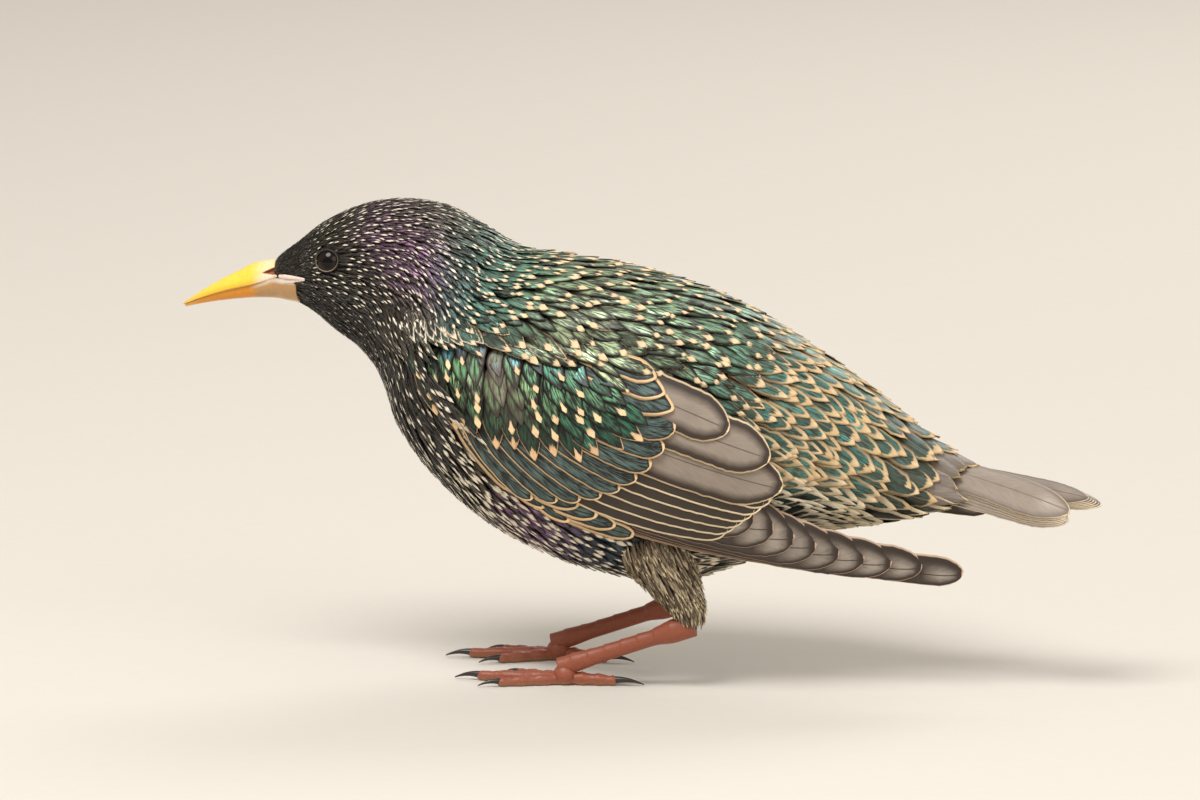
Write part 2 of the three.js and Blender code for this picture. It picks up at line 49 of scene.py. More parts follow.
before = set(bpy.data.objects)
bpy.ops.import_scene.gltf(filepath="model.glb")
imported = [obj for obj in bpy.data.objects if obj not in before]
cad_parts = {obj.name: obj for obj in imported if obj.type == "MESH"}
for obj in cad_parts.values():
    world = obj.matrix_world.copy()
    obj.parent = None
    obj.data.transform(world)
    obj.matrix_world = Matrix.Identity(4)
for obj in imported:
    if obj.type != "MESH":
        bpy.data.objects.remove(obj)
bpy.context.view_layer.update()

MM = 0.001
DEGREES = math.pi / 180
SIDES = {"left": -1, "right": 1}

# The body from the root of the bill to past the tail coverts: a point on the back line, a point
# on the belly line, and half the width between them
BODY = np.array([
    (-83.0, 91.3, -81.5, 82.1, 5.0),  # root of the bill
    (-77.6, 95.3, -77.6, 81.6, 8.0),  # forehead
    (-71.9, 99.8, -73.5, 79.5, 10.6),  # eyes
    (-64.0, 103.6, -69.0, 75.8, 12.2),  # ear coverts
    (-54.9, 105.3, -63.4, 71.9, 13.8),  # back of the crown
    (-44.6, 104.1, -59.2, 67.0, 16.3),  # nape
    (-35.6, 99.6, -56.8, 61.8, 19.2),  # foot of the neck
    (-27.8, 95.2, -53.7, 54.0, 23.2),  # shoulders
    (-18.5, 93.9, -45.1, 43.2, 26.5),  # breast
    (-4.9, 92.1, -31.0, 32.1, 28.0),  # widest place
    (11.0, 88.3, -11.7, 24.1, 27.6),  # belly
    (24.7, 83.0, 8.7, 21.7, 25.0),  # flanks
    (38.3, 75.0, 26.9, 27.7, 20.6),  # rump
    (50.8, 66.5, 41.7, 34.0, 15.8),  # vent
    (62.0, 57.8, 54.4, 37.0, 12.2),  # root of the tail coverts
    (70.0, 52.0, 65.4, 40.2, 10.5),  # middle of the tail coverts
    (77.6, 47.6, 76.0, 43.4, 8.6),  # end of the tail coverts
    (90.0, 46.2, 89.0, 42.4, 7.5),  # where the longest coverts lie on the tail
])
# The tail coverts lie on the rolled tail: how far they roll, and between which stations
COVERT_ROLL, COVERT_ROLL_FROM, COVERT_ROLL_TO = 20, 12.2, 14.8
SKIN_END = 14.5
SKIN_GRAIN = 0.9  # size of the blocks that the parts of the skin are joined by
BODY_SQUARENESS = 2.25

# The lean: none at the head, the whole angle behind the shoulders
LEAN_ANGLE = 10
LEAN_FROM, LEAN_TO = -60, 40
LEAN_AXIS_HEIGHT, LEAN_AXIS_SLOPE = 62, -0.18

# The closed wings
WRIST_X, WRIST_Z = -46.7, 79.7
WING_SLOPE = {"left": 19.6, "right": 16.8}
WING_STEP = 22
WING_REACH = [22.8, 28.9, 31.0, 29.2, 25.2, 19.8, 15.5]
WING_MIDDLE = [0, -6, -8, -5, 0, 3, 4]
WING_CURVE = [0.014, 0.014, 0.0135, 0.0135, 0.013, 0.01, 0.006]
WING_TOP = [0, 8, 15.5, 14, 3, -2, -5]
WING_BOTTOM = [-6, -21, -24, -22.5, -18.8, -15.5, -6]

# The tail's sheet
TAIL_X, TAIL_Z = 47, 50.9
TAIL_SLOPE, TAIL_ROLL, TAIL_ROOF = 8.3, 21, 0.028

# The bill: x, ridge, mouth line, lower edge, half width, half width of the jaw
BILL = np.array([
    (-76.8, 91.6, 87.5, 81.4, 4.4, 8.3),
    (-80.0, 91.2, 87.3, 81.9, 4.3, 6.6),
    (-83.0, 90.9, 87.0, 82.3, 4.1, 4.5),
    (-87.8, 90.0, 85.5, 82.2, 3.5, 3.3),
    (-91.2, 88.3, 84.6, 81.9, 3.0, 2.8),
    (-95.8, 85.9, 83.3, 81.3, 2.3, 2.15),
    (-100.3, 83.2, 81.7, 80.5, 1.5, 1.4),
    (-104.2, 80.6, 80.1, 79.6, 0.5, 0.45),
])
BILL_TIP_X = -104.2
LOWER_BILL_SHARE = 0.986

EYE_X, EYE_Z, EYE_RADIUS, EYE_OUT = -68.5, 92.2, 3.3, 12.5
PUPIL_RADIUS = 1.2

# The legs
STANCE = {"left": (-15, 0), "right": (15, 8)}  # sideways place, how far forward
THIGH = np.array([
    # x, z, radius, how far nearer the middle
    (2.0, 40.0, 9.0, 5.0),
    (6.0, 31.0, 8.4, 2.0),
    (9.8, 25.0, 6.6, 0.5),
    (12.6, 20.5, 5.1, 0.0),
    (14.2, 16.6, 3.9, 0.0),
    (14.6, 13.6, 2.6, 0.0),
])
ANKLE = (13.6, 14.0, 2.2)
FOOT_JOINT = (-14.2, 4.2, 1.75)
TARSUS_MIDDLE = 1.5
TARSUS_DEPTH = 1.18
SHANK_SCUTES = 7.5  # down the front of a shank
TOE_SCUTE = 1.7  # length of one scute on a toe
CLAW_SUNK = 1.2  # how deep a claw's root sits in its toe
TOES = [
    # heading, length, claw, radius
    (176, 20.0, 5.4, 1.55),
    (150, 14.0, 4.6, 1.45),
    (203, 15.0, 4.6, 1.40),
    (4, 11.5, 6.2, 1.60),
]

# How the part was moved so that its origin is under its middle
_bill_low, _bill_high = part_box("bill_upper")
SHIFT = np.array([_bill_low.x / MM - BILL_TIP_X, (_bill_low.y + _bill_high.y) / 2 / MM, 0.0])


def linear(hex_colour):
    """An sRGB hex colour as linear red, green and blue."""
    parts = [int(hex_colour[k:k + 2], 16) / 255 for k in (1, 3, 5)]
    return np.array([c / 12.92 if c <= 0.04045 else ((c + 0.055) / 1.055) ** 2.4 for c in parts])


def rgba(hex_colour):
    """An sRGB hex colour with full cover, as a node's own setting takes it."""
    return (*linear(hex_colour), 1.0)


# Sizes and colours that a user would change

class StarlingSizes(bpy.types.PropertyGroup):
    """Sizes of the plumage"""

    coat_depth: bpy.props.FloatProperty(
        name="Coat depth", description="How deep the body feathers are rooted under their tips",
        default=0.0022, min=0.0005, max=0.004, unit="LENGTH")
    overlap: bpy.props.FloatProperty(
        name="Overlap", description="How many rows of body feathers lie over one another",
        default=2.7, min=1.5, max=4.0)
    vane_thickness: bpy.props.FloatProperty(
        name="Vane thickness", description="Thickness of a flight feather's vane at its middle",
        default=0.0003, min=0.0001, max=0.0006, unit="LENGTH")
    camera_distance: bpy.props.FloatProperty(
        name="Camera distance", description="How far the camera stands from the bird",
        default=2.8, min=0.5, max=10.0, unit="LENGTH")


def colour_property(name, description, hex_colour):
    """A colour that a user picks in the sidebar."""
    return bpy.props.FloatVectorProperty(
        name=name, description=description, subtype="COLOR", size=3, min=0, max=1,
        default=tuple(linear(hex_colour)))


class StarlingColours(bpy.types.PropertyGroup):
    """Colours of the plumage and the bare parts"""

    black: colour_property("Black", "Ground colour of the glossy feathers", "#24231f")
    # The glosses are the feathers' structural colours and also painted sheen: the finish mixes them
    # into the base colour in bright streaks
    green: colour_property("Green gloss", "Gloss of the mantle", "#84b290")
    lime: colour_property("Yellow-green gloss", "Brightest gloss of the mantle", "#d0d6a6")
    teal: colour_property("Teal gloss", "Gloss of the rump and the wing coverts", "#4b8078")
    blue: colour_property("Blue gloss", "Gloss of the shoulder and the greater coverts", "#5f86a0")
    purple: colour_property("Purple gloss", "Gloss of the neck's sides and the flanks", "#b384ab")
    buff: colour_property("Buff", "Tips and fringes of the upper parts", "#e8cda4")
    cream: colour_property("Cream", "Tips of the head's and flanks' feathers", "#e9dec9")


STEPS = []


def piece_operator(cls):
    """Lists an operator in the order in which the bird is built."""
    STEPS.append(cls)
    return cls


# Curves and surfaces

def smooth(value):
    """A soft step: 0 up to 0, 1 from 1 on, and level at both ends."""
    share = np.clip(value, 0, 1)
    return share * share * (3 - 2 * share)


def mix(a, b, share):
    """From a at share 0 to b at share 1."""
    return a + (b - a) * share


def stack(*parts):
    """Numbers or arrays side by side along a new last axis, such as x, y and z."""
    return np.stack(np.broadcast_arrays(*parts), -1)


def through(values, at):
    """A smooth run through values that stand at 0, 1, 2 and so on."""
    values = np.asarray(values, float)
    i = np.clip(np.floor(at), 0, len(values) - 2).astype(int)
    t = at - i
    ends = np.concatenate([[2 * values[0] - values[1]], values, [2 * values[-1] - values[-2]]])
    before, here, after, beyond = (ends[i + k] for k in range(4))
    bend = 2 * before - 5 * here + 4 * after - beyond
    twist = 3 * (here - after) + beyond - before
    return here + 0.5 * t * (after - before + t * (bend + t * twist))


def rounded(v):
    """A cosine or sine, filled out to the body's slightly square cross-section."""
    return np.sign(v) * np.abs(v) ** (2 / BODY_SQUARENESS)


def unit(vectors):
    """The same directions, one long."""
    return vectors / np.maximum(np.linalg.norm(vectors, axis=-1, keepdims=True), 1e-12)


def body_surface(at, turn, out=0.0):
    """A point on the body: station, turn from the back line, and how far outside the body."""
    back_x, back_z, belly_x, belly_z, half = (through(BODY[:, k], at) for k in range(5))
    height = np.hypot(back_x - belly_x, back_z - belly_z)
    down = 0.5 - rounded(np.cos(turn)) * (height / 2 + out) / height
    share = smooth((at - COVERT_ROLL_FROM) / (COVERT_ROLL_TO - COVERT_ROLL_FROM))
    roll = COVERT_ROLL * DEGREES * share
    side = (half + out) * rounded(np.sin(turn))
    up = (back_z - belly_z) * (0.5 - down)
    return stack(
        back_x + (belly_x - back_x) * down,
        side * np.cos(roll) - up * np.sin(roll),
        (back_z + belly_z) / 2 + side * np.sin(roll) + up * np.cos(roll))


def leaned(points):
    """Turns points round the long axis by as much as the bird leans there."""
    x, y, z = np.moveaxis(points, -1, 0)
    turn = LEAN_ANGLE * DEGREES * smooth((x - LEAN_FROM) / (LEAN_TO - LEAN_FROM))
    axis_z = LEAN_AXIS_HEIGHT + LEAN_AXIS_SLOPE * x
    up = z - axis_z
    return stack(
        x, y * np.cos(turn) - up * np.sin(turn), axis_z + y * np.sin(turn) + up * np.cos(turn))


def to_model(points, lean=True):
    """From the bird's own millimetres to the model's metres."""
    return ((leaned(points) if lean else points) + SHIFT) * MM


def wing_station(along):
    """Where a place along a wing falls in the wing's tables."""
    return np.clip(along / WING_STEP, 0, len(WING_REACH) - 1)


def wing_rims(along):
    """Heights of the upper and the lower edge over the wing's axis."""
    at = wing_station(along)
    return through(WING_TOP, at), through(WING_BOTTOM, at)


def wing_reach(along, above):
    """How far out from the bird's middle the wing's sheet lies."""
    at = wing_station(along)
    off = above - through(WING_MIDDLE, at)
    return through(WING_REACH, at) - through(WING_CURVE, at) * off * off


def wing_sheet(name, along, above, out):
    """From the wing's own sheet to space: along the axis, above it, and out from the sheet."""
    slope = WING_SLOPE[name] * DEGREES
    return stack(
        WRIST_X + along * math.cos(slope) + above * math.sin(slope),
        SIDES[name] * (wing_reach(along, above) + out),
        WRIST_Z - along * math.sin(slope) + above * math.cos(slope))


def wing_coordinates(name, points):
    """Where a point lies on a wing's sheet: along the axis and above it."""
    slope = WING_SLOPE[name] * DEGREES
    x, z = points[..., 0] - WRIST_X, points[..., 2] - WRIST_Z
    return x * math.cos(slope) - z * math.sin(slope), x * math.sin(slope) + z * math.cos(slope)


def tail_sheet(along, across, out):
    """From the tail's own sheet, a rolled shallow roof, to space."""
    slope = TAIL_SLOPE * DEGREES
    lift = across * math.tan(TAIL_ROLL * DEGREES) - TAIL_ROOF * across * across
    return stack(
        TAIL_X + along * math.cos(slope) + out * math.sin(slope), across,
        TAIL_Z - along * math.sin(slope) + lift + out * math.cos(slope))


def limb_axes(ahead):
    """The directions across a limb and to its front, from the way it runs."""
    run = unit(ahead)
    across = unit(np.array([0.0, 1.0, 0.0]) - run * run[..., 1:2])
    return across, np.cross(run, across)


def limb_surface(centres, radii, depth=1.0):
    """A surface round a bent line: returns surface(at, turn, out), turn 0 facing forward."""
    def surface(at, turn, out=0.0):
        centre, ahead = (stack(*(through(line, at + step) for line in centres.T))
                         for step in (0, 0.01))
        across, fore = limb_axes(ahead - centre)
        radius = through(radii, at) + out
        return (centre + across * (radius * np.sin(turn))[..., None]
                + fore * (radius * depth * np.cos(turn))[..., None])
    return surface


# Meshes

def new_object(name, points, faces, finish):
    """A mesh of closed surfaces from model points; it rides on the bird's only body."""
    mesh = bpy.data.meshes.new(name)
    mesh.from_pydata(points.tolist(), [], faces, shade_flat=False)
    mesh.materials.append(finish)
    piece = bpy.data.objects.new(name, mesh)
    bpy.context.scene.collection.objects.link(piece)
    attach(piece, "root")
    return piece


def point_values(piece, name, kind, values):
    """Stores one value for each point of the mesh."""
    field = {"FLOAT": "value", "FLOAT_VECTOR": "vector", "FLOAT_COLOR": "color"}[kind]
    made = piece.data.attributes.new(name, kind, "POINT")
    made.data.foreach_set(field, np.asarray(values, np.float32).ravel())


def paint(piece, key, tints):
    """Stores a colour for each point of the mesh, from one colour or one for each point."""
    values = np.ones((len(piece.data.vertices), 4))
    values[:, :3] = tints
    point_values(piece, key, "FLOAT_COLOR", values)


def unwrap(piece, name, places):
    """A UV map from one place for each point of the mesh."""
    corners = np.zeros(len(piece.data.loops), np.int32)
    piece.data.loops.foreach_get("vertex_index", corners)
    layer = piece.data.uv_layers.new(name=name)
    layer.uv.foreach_set("vector", np.asarray(places, np.float32)[corners].ravel())


def full_turn(count):
    """Even turns round a ring, without the last one that would repeat the first."""
    return np.linspace(0, 2 * math.pi, count, endpoint=False)


def tube_faces(rings, sides):
    """Quads between rings of equally many points, and a fan over each end."""
    ring, side = np.meshgrid(np.arange(rings - 1), np.arange(sides), indexing="ij")
    a = ring * sides + side
    b = ring * sides + (side + 1) % sides
    quads = stack(a, b, b + sides, a + sides).reshape(-1, 4)
    side = np.arange(sides)
    after = (side + 1) % sides
    first = rings * sides
    end = first - sides
    caps = stack(first, after, side), stack(first + 1, end + side, end + after)
    return [*quads.tolist(), *caps[0].tolist(), *caps[1].tolist()]


def tube_points(rings):
    """The points of a closed tube: its rings and the middle of each end."""
    ends = np.stack([rings[0].mean(0), rings[-1].mean(0)])
    return np.concatenate([rings.reshape(-1, 3), ends])


def joined(parts):
    """Several closed meshes as one: points and faces."""
    points, faces, start = [], [], 0
    for part_points, part_faces in parts:
        points.append(part_points)
        faces.extend([[i + start for i in face] for face in part_faces])
        start += len(part_points)
    return np.concatenate(points), faces


def tube(rings):
    """The points and faces of a closed tube."""
    rings = np.asarray(rings, float)
    return tube_points(rings), tube_faces(rings.shape[0], rings.shape[1])


def solid_piece(name, parts, finish, tints=None, lean=False):
    """A piece made of closed tubes; tints gives its colour, or finds it from the bird's points."""
    points, faces = joined(parts)
    piece = new_object(name, to_model(points, lean), faces, finish)
    outward(piece.data)
    if tints is not None:
        paint(piece, "ground", tints(points) if callable(tints) else tints)
    return piece


def outward(mesh):
    """Turns every closed part's faces to point out."""
    made = bmesh.new()
    made.from_mesh(mesh)
    bmesh.ops.recalc_face_normals(made, faces=made.faces)
    made.to_mesh(mesh)
    made.free()


# Feathers

VANE_COLOURS = ("ground", "sheen", "pale", "edge")
# On the map that a finish is baked to: where the roots' part starts, how wide it is, and how
# wide a body feather's own patch is
BAKE_START, BAKE_SPAN, BAKE_PATCH = 0.02, 0.95, 0.003
SMALL_STEP = 1e-3  # for slopes along a surface, in stations and radians


def vane_grid(sides, steps, crowd):
    """Places on one vane and its closed faces: across -1 to 1, along 0 to 1, and depth 0 or 1.

    The upper and lower surface share their border, so a vane is thickest at its middle. The
    higher crowd is, the more of the steps are near the tip.
    """
    across = np.linspace(-1, 1, sides)
    along = 1 - (1 - np.linspace(0, 1, steps)) ** crowd
    top = np.arange(sides * steps).reshape(sides, steps)
    under = top.copy()
    inner = (sides - 2) * (steps - 2)
    under[1:-1, 1:-1] = top.size + np.arange(inner).reshape(sides - 2, steps - 2)
    x, s = np.meshgrid(across, along, indexing="ij")
    x = np.concatenate([x.ravel(), x[1:-1, 1:-1].ravel()])
    s = np.concatenate([s.ravel(), s[1:-1, 1:-1].ravel()])
    depth = np.concatenate([np.zeros(top.size), np.ones(inner)])

    def quads(grid):
        return stack(grid[:-1, :-1], grid[1:, :-1], grid[1:, 1:], grid[:-1, 1:]).reshape(-1, 4)

    upper, lower = quads(top), quads(under)[:, ::-1]
    faces = np.concatenate([upper, lower])
    is_upper = np.arange(len(faces)) < len(upper)
    return x, s, depth, faces, is_upper


def vane_width(s, base, point, taper):
    """Share of a vane's half width along it: point 0 gives a round tip, 1 a sharp one."""
    rise = base + (1 - base) * np.sin(np.minimum(1, s / 0.4) * math.pi / 2)
    close = np.clip(1 - (1 - s) / taper, 0, 1)
    return rise * np.maximum(0.04, (1 - close ** (2 - 0.8 * point)) ** (0.5 + 0.5 * point))


def speckle(value):
    """An even scatter between -1 and 1 that depends on the value alone."""
    return np.sin(value * 12.9898) * 43758.5453 % 2 - 1


def lay_vanes(name, place, birds, grid, finish, flip=False, lean=True, bake=None):
    """Makes one mesh of many vanes.

    place(across, along, out) gives points in the bird's frame for every vane's own millimetres.
    birds holds sizes, colours and marks: one value for each vane, or one size for all of them.
    bake gives the place of each vane's root on the map that the finish is baked to. Without it
    the vanes stand side by side on that map.
    """
    x, s, depth, faces, is_upper = vane_grid(*grid)
    count = len(birds["length"])
    column = {k: np.broadcast_to(v, count)[:, None] for k, v in birds.items() if np.ndim(v) < 2}
    width = vane_width(s[None], column["base"], column["point"], column["taper"]) * column["half"]
    fray = column["ragged"] * speckle(s * 7 + np.sign(x) + column["seed"])
    width = width * (1 + fray)
    across = (x + column["shaft_off"] * (1 - x * x)) * width
    along = s * column["length"] + fray * column["half"] * (s > 0.97) * (abs(x) < 0.99)
    along = along - column["skew"] * across * s * s
    rise = column["root_out"] + (column["tip_out"] - column["root_out"]) * s ** column["lift"]
    out = rise - column["camber"] * column["half"] * x ** 2 - column["roll"] * column["half"] * x
    out = out - depth * column["thick"]
    points = place(across, along, out)
    all_faces = faces[None] + (np.arange(count) * len(x))[:, None, None]
    if flip:
        all_faces = all_faces[..., ::-1]
    piece = new_object(name, to_model(points, lean).reshape(-1, 3),
                       all_faces.reshape(-1, 4).tolist(), finish)
    sharp = piece.data.attributes.get("sharp_face")
    sharp = sharp or piece.data.attributes.new("sharp_face", "BOOLEAN", "FACE")
    sharp.data.foreach_set("value", ~np.tile(is_upper, count))
    point_values(piece, "size", "FLOAT_VECTOR", stack(width, column["length"], column["seed"]))
    for key in ("marks", "band"):
        point_values(piece, key, "FLOAT_VECTOR", np.repeat(birds[key], len(x), axis=0))
    for key in VANE_COLOURS:
        paint(piece, key, np.repeat(birds[key], len(x), axis=0))
    unwrap(piece, "Feather", np.tile(stack((x + 1) / 2, s), (count, 1)))
    if bake is None:
        strip = np.arange(count)[:, None] + 0.5 + 0.46 * x[None] * width / column["half"]
        places = stack(strip / count, 0.01 + 0.98 * s)
    else:
        around, down = (place_of_root[:, None] for place_of_root in bake)
        places = stack(around + BAKE_PATCH * x / 2, down + 3 * BAKE_PATCH * s)
    unwrap(piece, "OFBake", places.reshape(-1, 2))
    return piece


def lie_on(surface, at, turn, heading, length):
    """place() for vanes that lie along a surface from their roots, turned by heading."""
    step = SMALL_STEP

    def tangents(a, t):
        here = surface(a, t)
        return (surface(a + step, t) - here) / step, (surface(a, t + step) - here) / step

    def shifts(run, round_, lie, side):
        """What a millimetre along the lie and across it adds to the station and the turn."""
        rr, rt, tt = ((run * run).sum(-1), (run * round_).sum(-1), (round_ * round_).sum(-1))
        scale = rr * tt - rt * rt
        found = []
        for way in (lie, side):
            wr, wt = (way * run).sum(-1), (way * round_).sum(-1)
            found.append(((wr * tt - wt * rt) / scale, (wt * rr - wr * rt) / scale))
        return found

    def ways(a, t):
        run, round_ = tangents(a, t)
        straight = unit(run)
        normal = unit(np.cross(run, round_))
        over = np.cross(straight, normal)
        c, s = np.cos(heading)[:, None], np.sin(heading)[:, None]
        return shifts(run, round_, straight * c + over * s, over * c - straight * s)

    (lie_at, lie_turn), _ = ways(at, turn)
    middle_at, middle_turn = at + lie_at * length / 2, turn + lie_turn * length / 2
    (lie_at, lie_turn), (side_at, side_turn) = ways(middle_at, middle_turn)

    def place(across, along, out):
        a = at[:, None] + lie_at[:, None] * along + side_at[:, None] * across
        t = turn[:, None] + lie_turn[:, None] * along + side_turn[:, None] * across
        return surface(a, t, out)
    return place


def staggered_roots(surface, first, last, row_gap, column_gap, rng, jitter=0.12):
    """Stations, turns, row and column numbers in staggered rows, as feathers grow."""
    at = np.linspace(first, last, 400)
    turn = np.linspace(-math.pi, math.pi, 361)
    grid_at, grid_turn = np.meshgrid(at, turn, indexing="ij")
    run = np.linalg.norm(np.diff(surface(grid_at, grid_turn), axis=0), axis=-1)
    gap = row_gap(grid_at, grid_turn)
    rows = np.concatenate([np.zeros((1, len(turn))), np.cumsum(run / gap[1:], axis=0)])
    found = []
    for k in range(int(rows[-1].max()) + 1):
        row_at = np.array([np.interp(k, rows[:, j], at, right=last + 1) for j in range(len(turn))])
        line_at = np.minimum(row_at, last)
        steps = np.linalg.norm(np.diff(surface(line_at, turn), axis=0), axis=-1)
        far = np.concatenate([[0], np.cumsum(steps / column_gap(line_at, turn)[1:])])
        count = int(round(far[-1]))
        if count < 3:
            continue
        wanted = (np.arange(count) + 0.25 + 0.5 * (k % 2)) * far[-1] / count
        turns = np.interp(wanted + rng.normal(0, jitter, count), far, turn)
        stations = np.interp(turns, turn, row_at)
        drift = rng.normal(0, jitter, count) * row_gap(stations, turns)
        stations = stations + drift / station_length(surface, stations, turns)
        found.append(stack(stations, turns, k, np.arange(count))[stations <= last])
    return np.concatenate(found).T


def station_length(surface, at, turn):
    """How many mm one station spans at a place."""
    ahead = surface(at + SMALL_STEP, turn) - surface(at, turn)
    return np.linalg.norm(ahead, axis=-1) / SMALL_STEP


def belly_share(turn):
    """0 on the back line, 1 on the belly line."""
    return (1 - np.cos(turn)) / 2


def bake_places(at, turn, first, last):
    """Roots on the map that the finish is baked to, with a narrow border round them."""
    around = BAKE_START + BAKE_SPAN * (turn + math.pi) / (2 * math.pi)
    return around, BAKE_START + BAKE_SPAN * (at - first) / (last - first)


def over_body(back, belly):
    """A value given at each station on the back line and the belly line, mixed between them."""
    stations = np.arange(len(back))

    def value(at, turn):
        ends = np.interp(at, stations, back), np.interp(at, stations, belly)
        return mix(*ends, belly_share(turn))
    return value


# Distances between body feathers along the lie and across it, at each station
ROW_GAP = over_body(
    [0.62, 0.68, 0.82, 1.0, 1.2, 1.4, 1.8, 2.6, 3.8, 4.3, 4.3, 4.1, 4.1, 4.3, 5.2, 5.6, 5.6],
    [0.62, 0.68, 0.82, 1.0, 1.2, 1.4, 1.5, 1.7, 1.9, 2.2, 2.6, 3.2, 4.0, 4.8, 5.6, 6.2, 6.4])
COLUMN_GAP = over_body(
    [0.46, 0.52, 0.65, 0.76, 0.92, 1.1, 1.6, 2.2, 2.8, 3.1, 3.3, 3.4, 3.5, 3.8, 5.6, 6.5, 6.5],
    [0.44, 0.5, 0.6, 0.72, 0.85, 1.0, 1.2, 1.35, 1.5, 1.75, 2.05, 2.4, 3.1, 4.4, 5.6, 5.8, 5.8])
COAT_DEPTH = over_body(
    [0.4, 0.6, 0.8, 1.0, 1.2, 1.4, 1.7, 2.0, 2.2, 2.2, 2.2, 2.2, 2.0, 1.9, 2.2, 2.8, 1.8],
    [0.4, 0.6, 0.8, 1.0, 1.2, 1.5, 1.8, 2.1, 2.2, 2.2, 2.2, 2.2, 2.0, 1.9, 2.2, 2.8, 1.8])


# Finishes

def node(tree, kind, *feeds, named=None, **settings):
    """Adds a node with its settings and feeds its inputs, in their order or by their names."""
    made = tree.nodes.new("ShaderNode" + kind)
    for name, value in settings.items():
        setattr(made, name, value)
    feed(tree, made, {**dict(enumerate(feeds)), **(named or {})})
    return made


def feed(tree, made, inputs):
    """Gives inputs of a node their values, or the node or output that feeds them."""
    for key, value in inputs.items():
        if isinstance(value, bpy.types.Node):
            value = value.outputs[0]
        if isinstance(value, bpy.types.NodeSocket):
            tree.links.new(value, made.inputs[key])
        else:
            made.inputs[key].default_value = value


def new_finish(name):
    """A material with a bare surface shader: returns it, its node tree and the shader."""
    made = bpy.data.materials.new(name)
    made.use_nodes = True
    tree = made.node_tree
    tree.nodes.clear()
    surface = node(tree, "BsdfPrincipled")
    node(tree, "OutputMaterial", surface)
    return made, tree, surface


def keep_once(make):
    """Each finish is made the first time that a piece asks for it."""
    def kept():
        found = bpy.data.materials.get(make.__name__)
        return found or make(make.__name__)
    return kept


# Width of one streak in mm: a light and a dark one together span about one barb
BARB_STREAK = 0.15


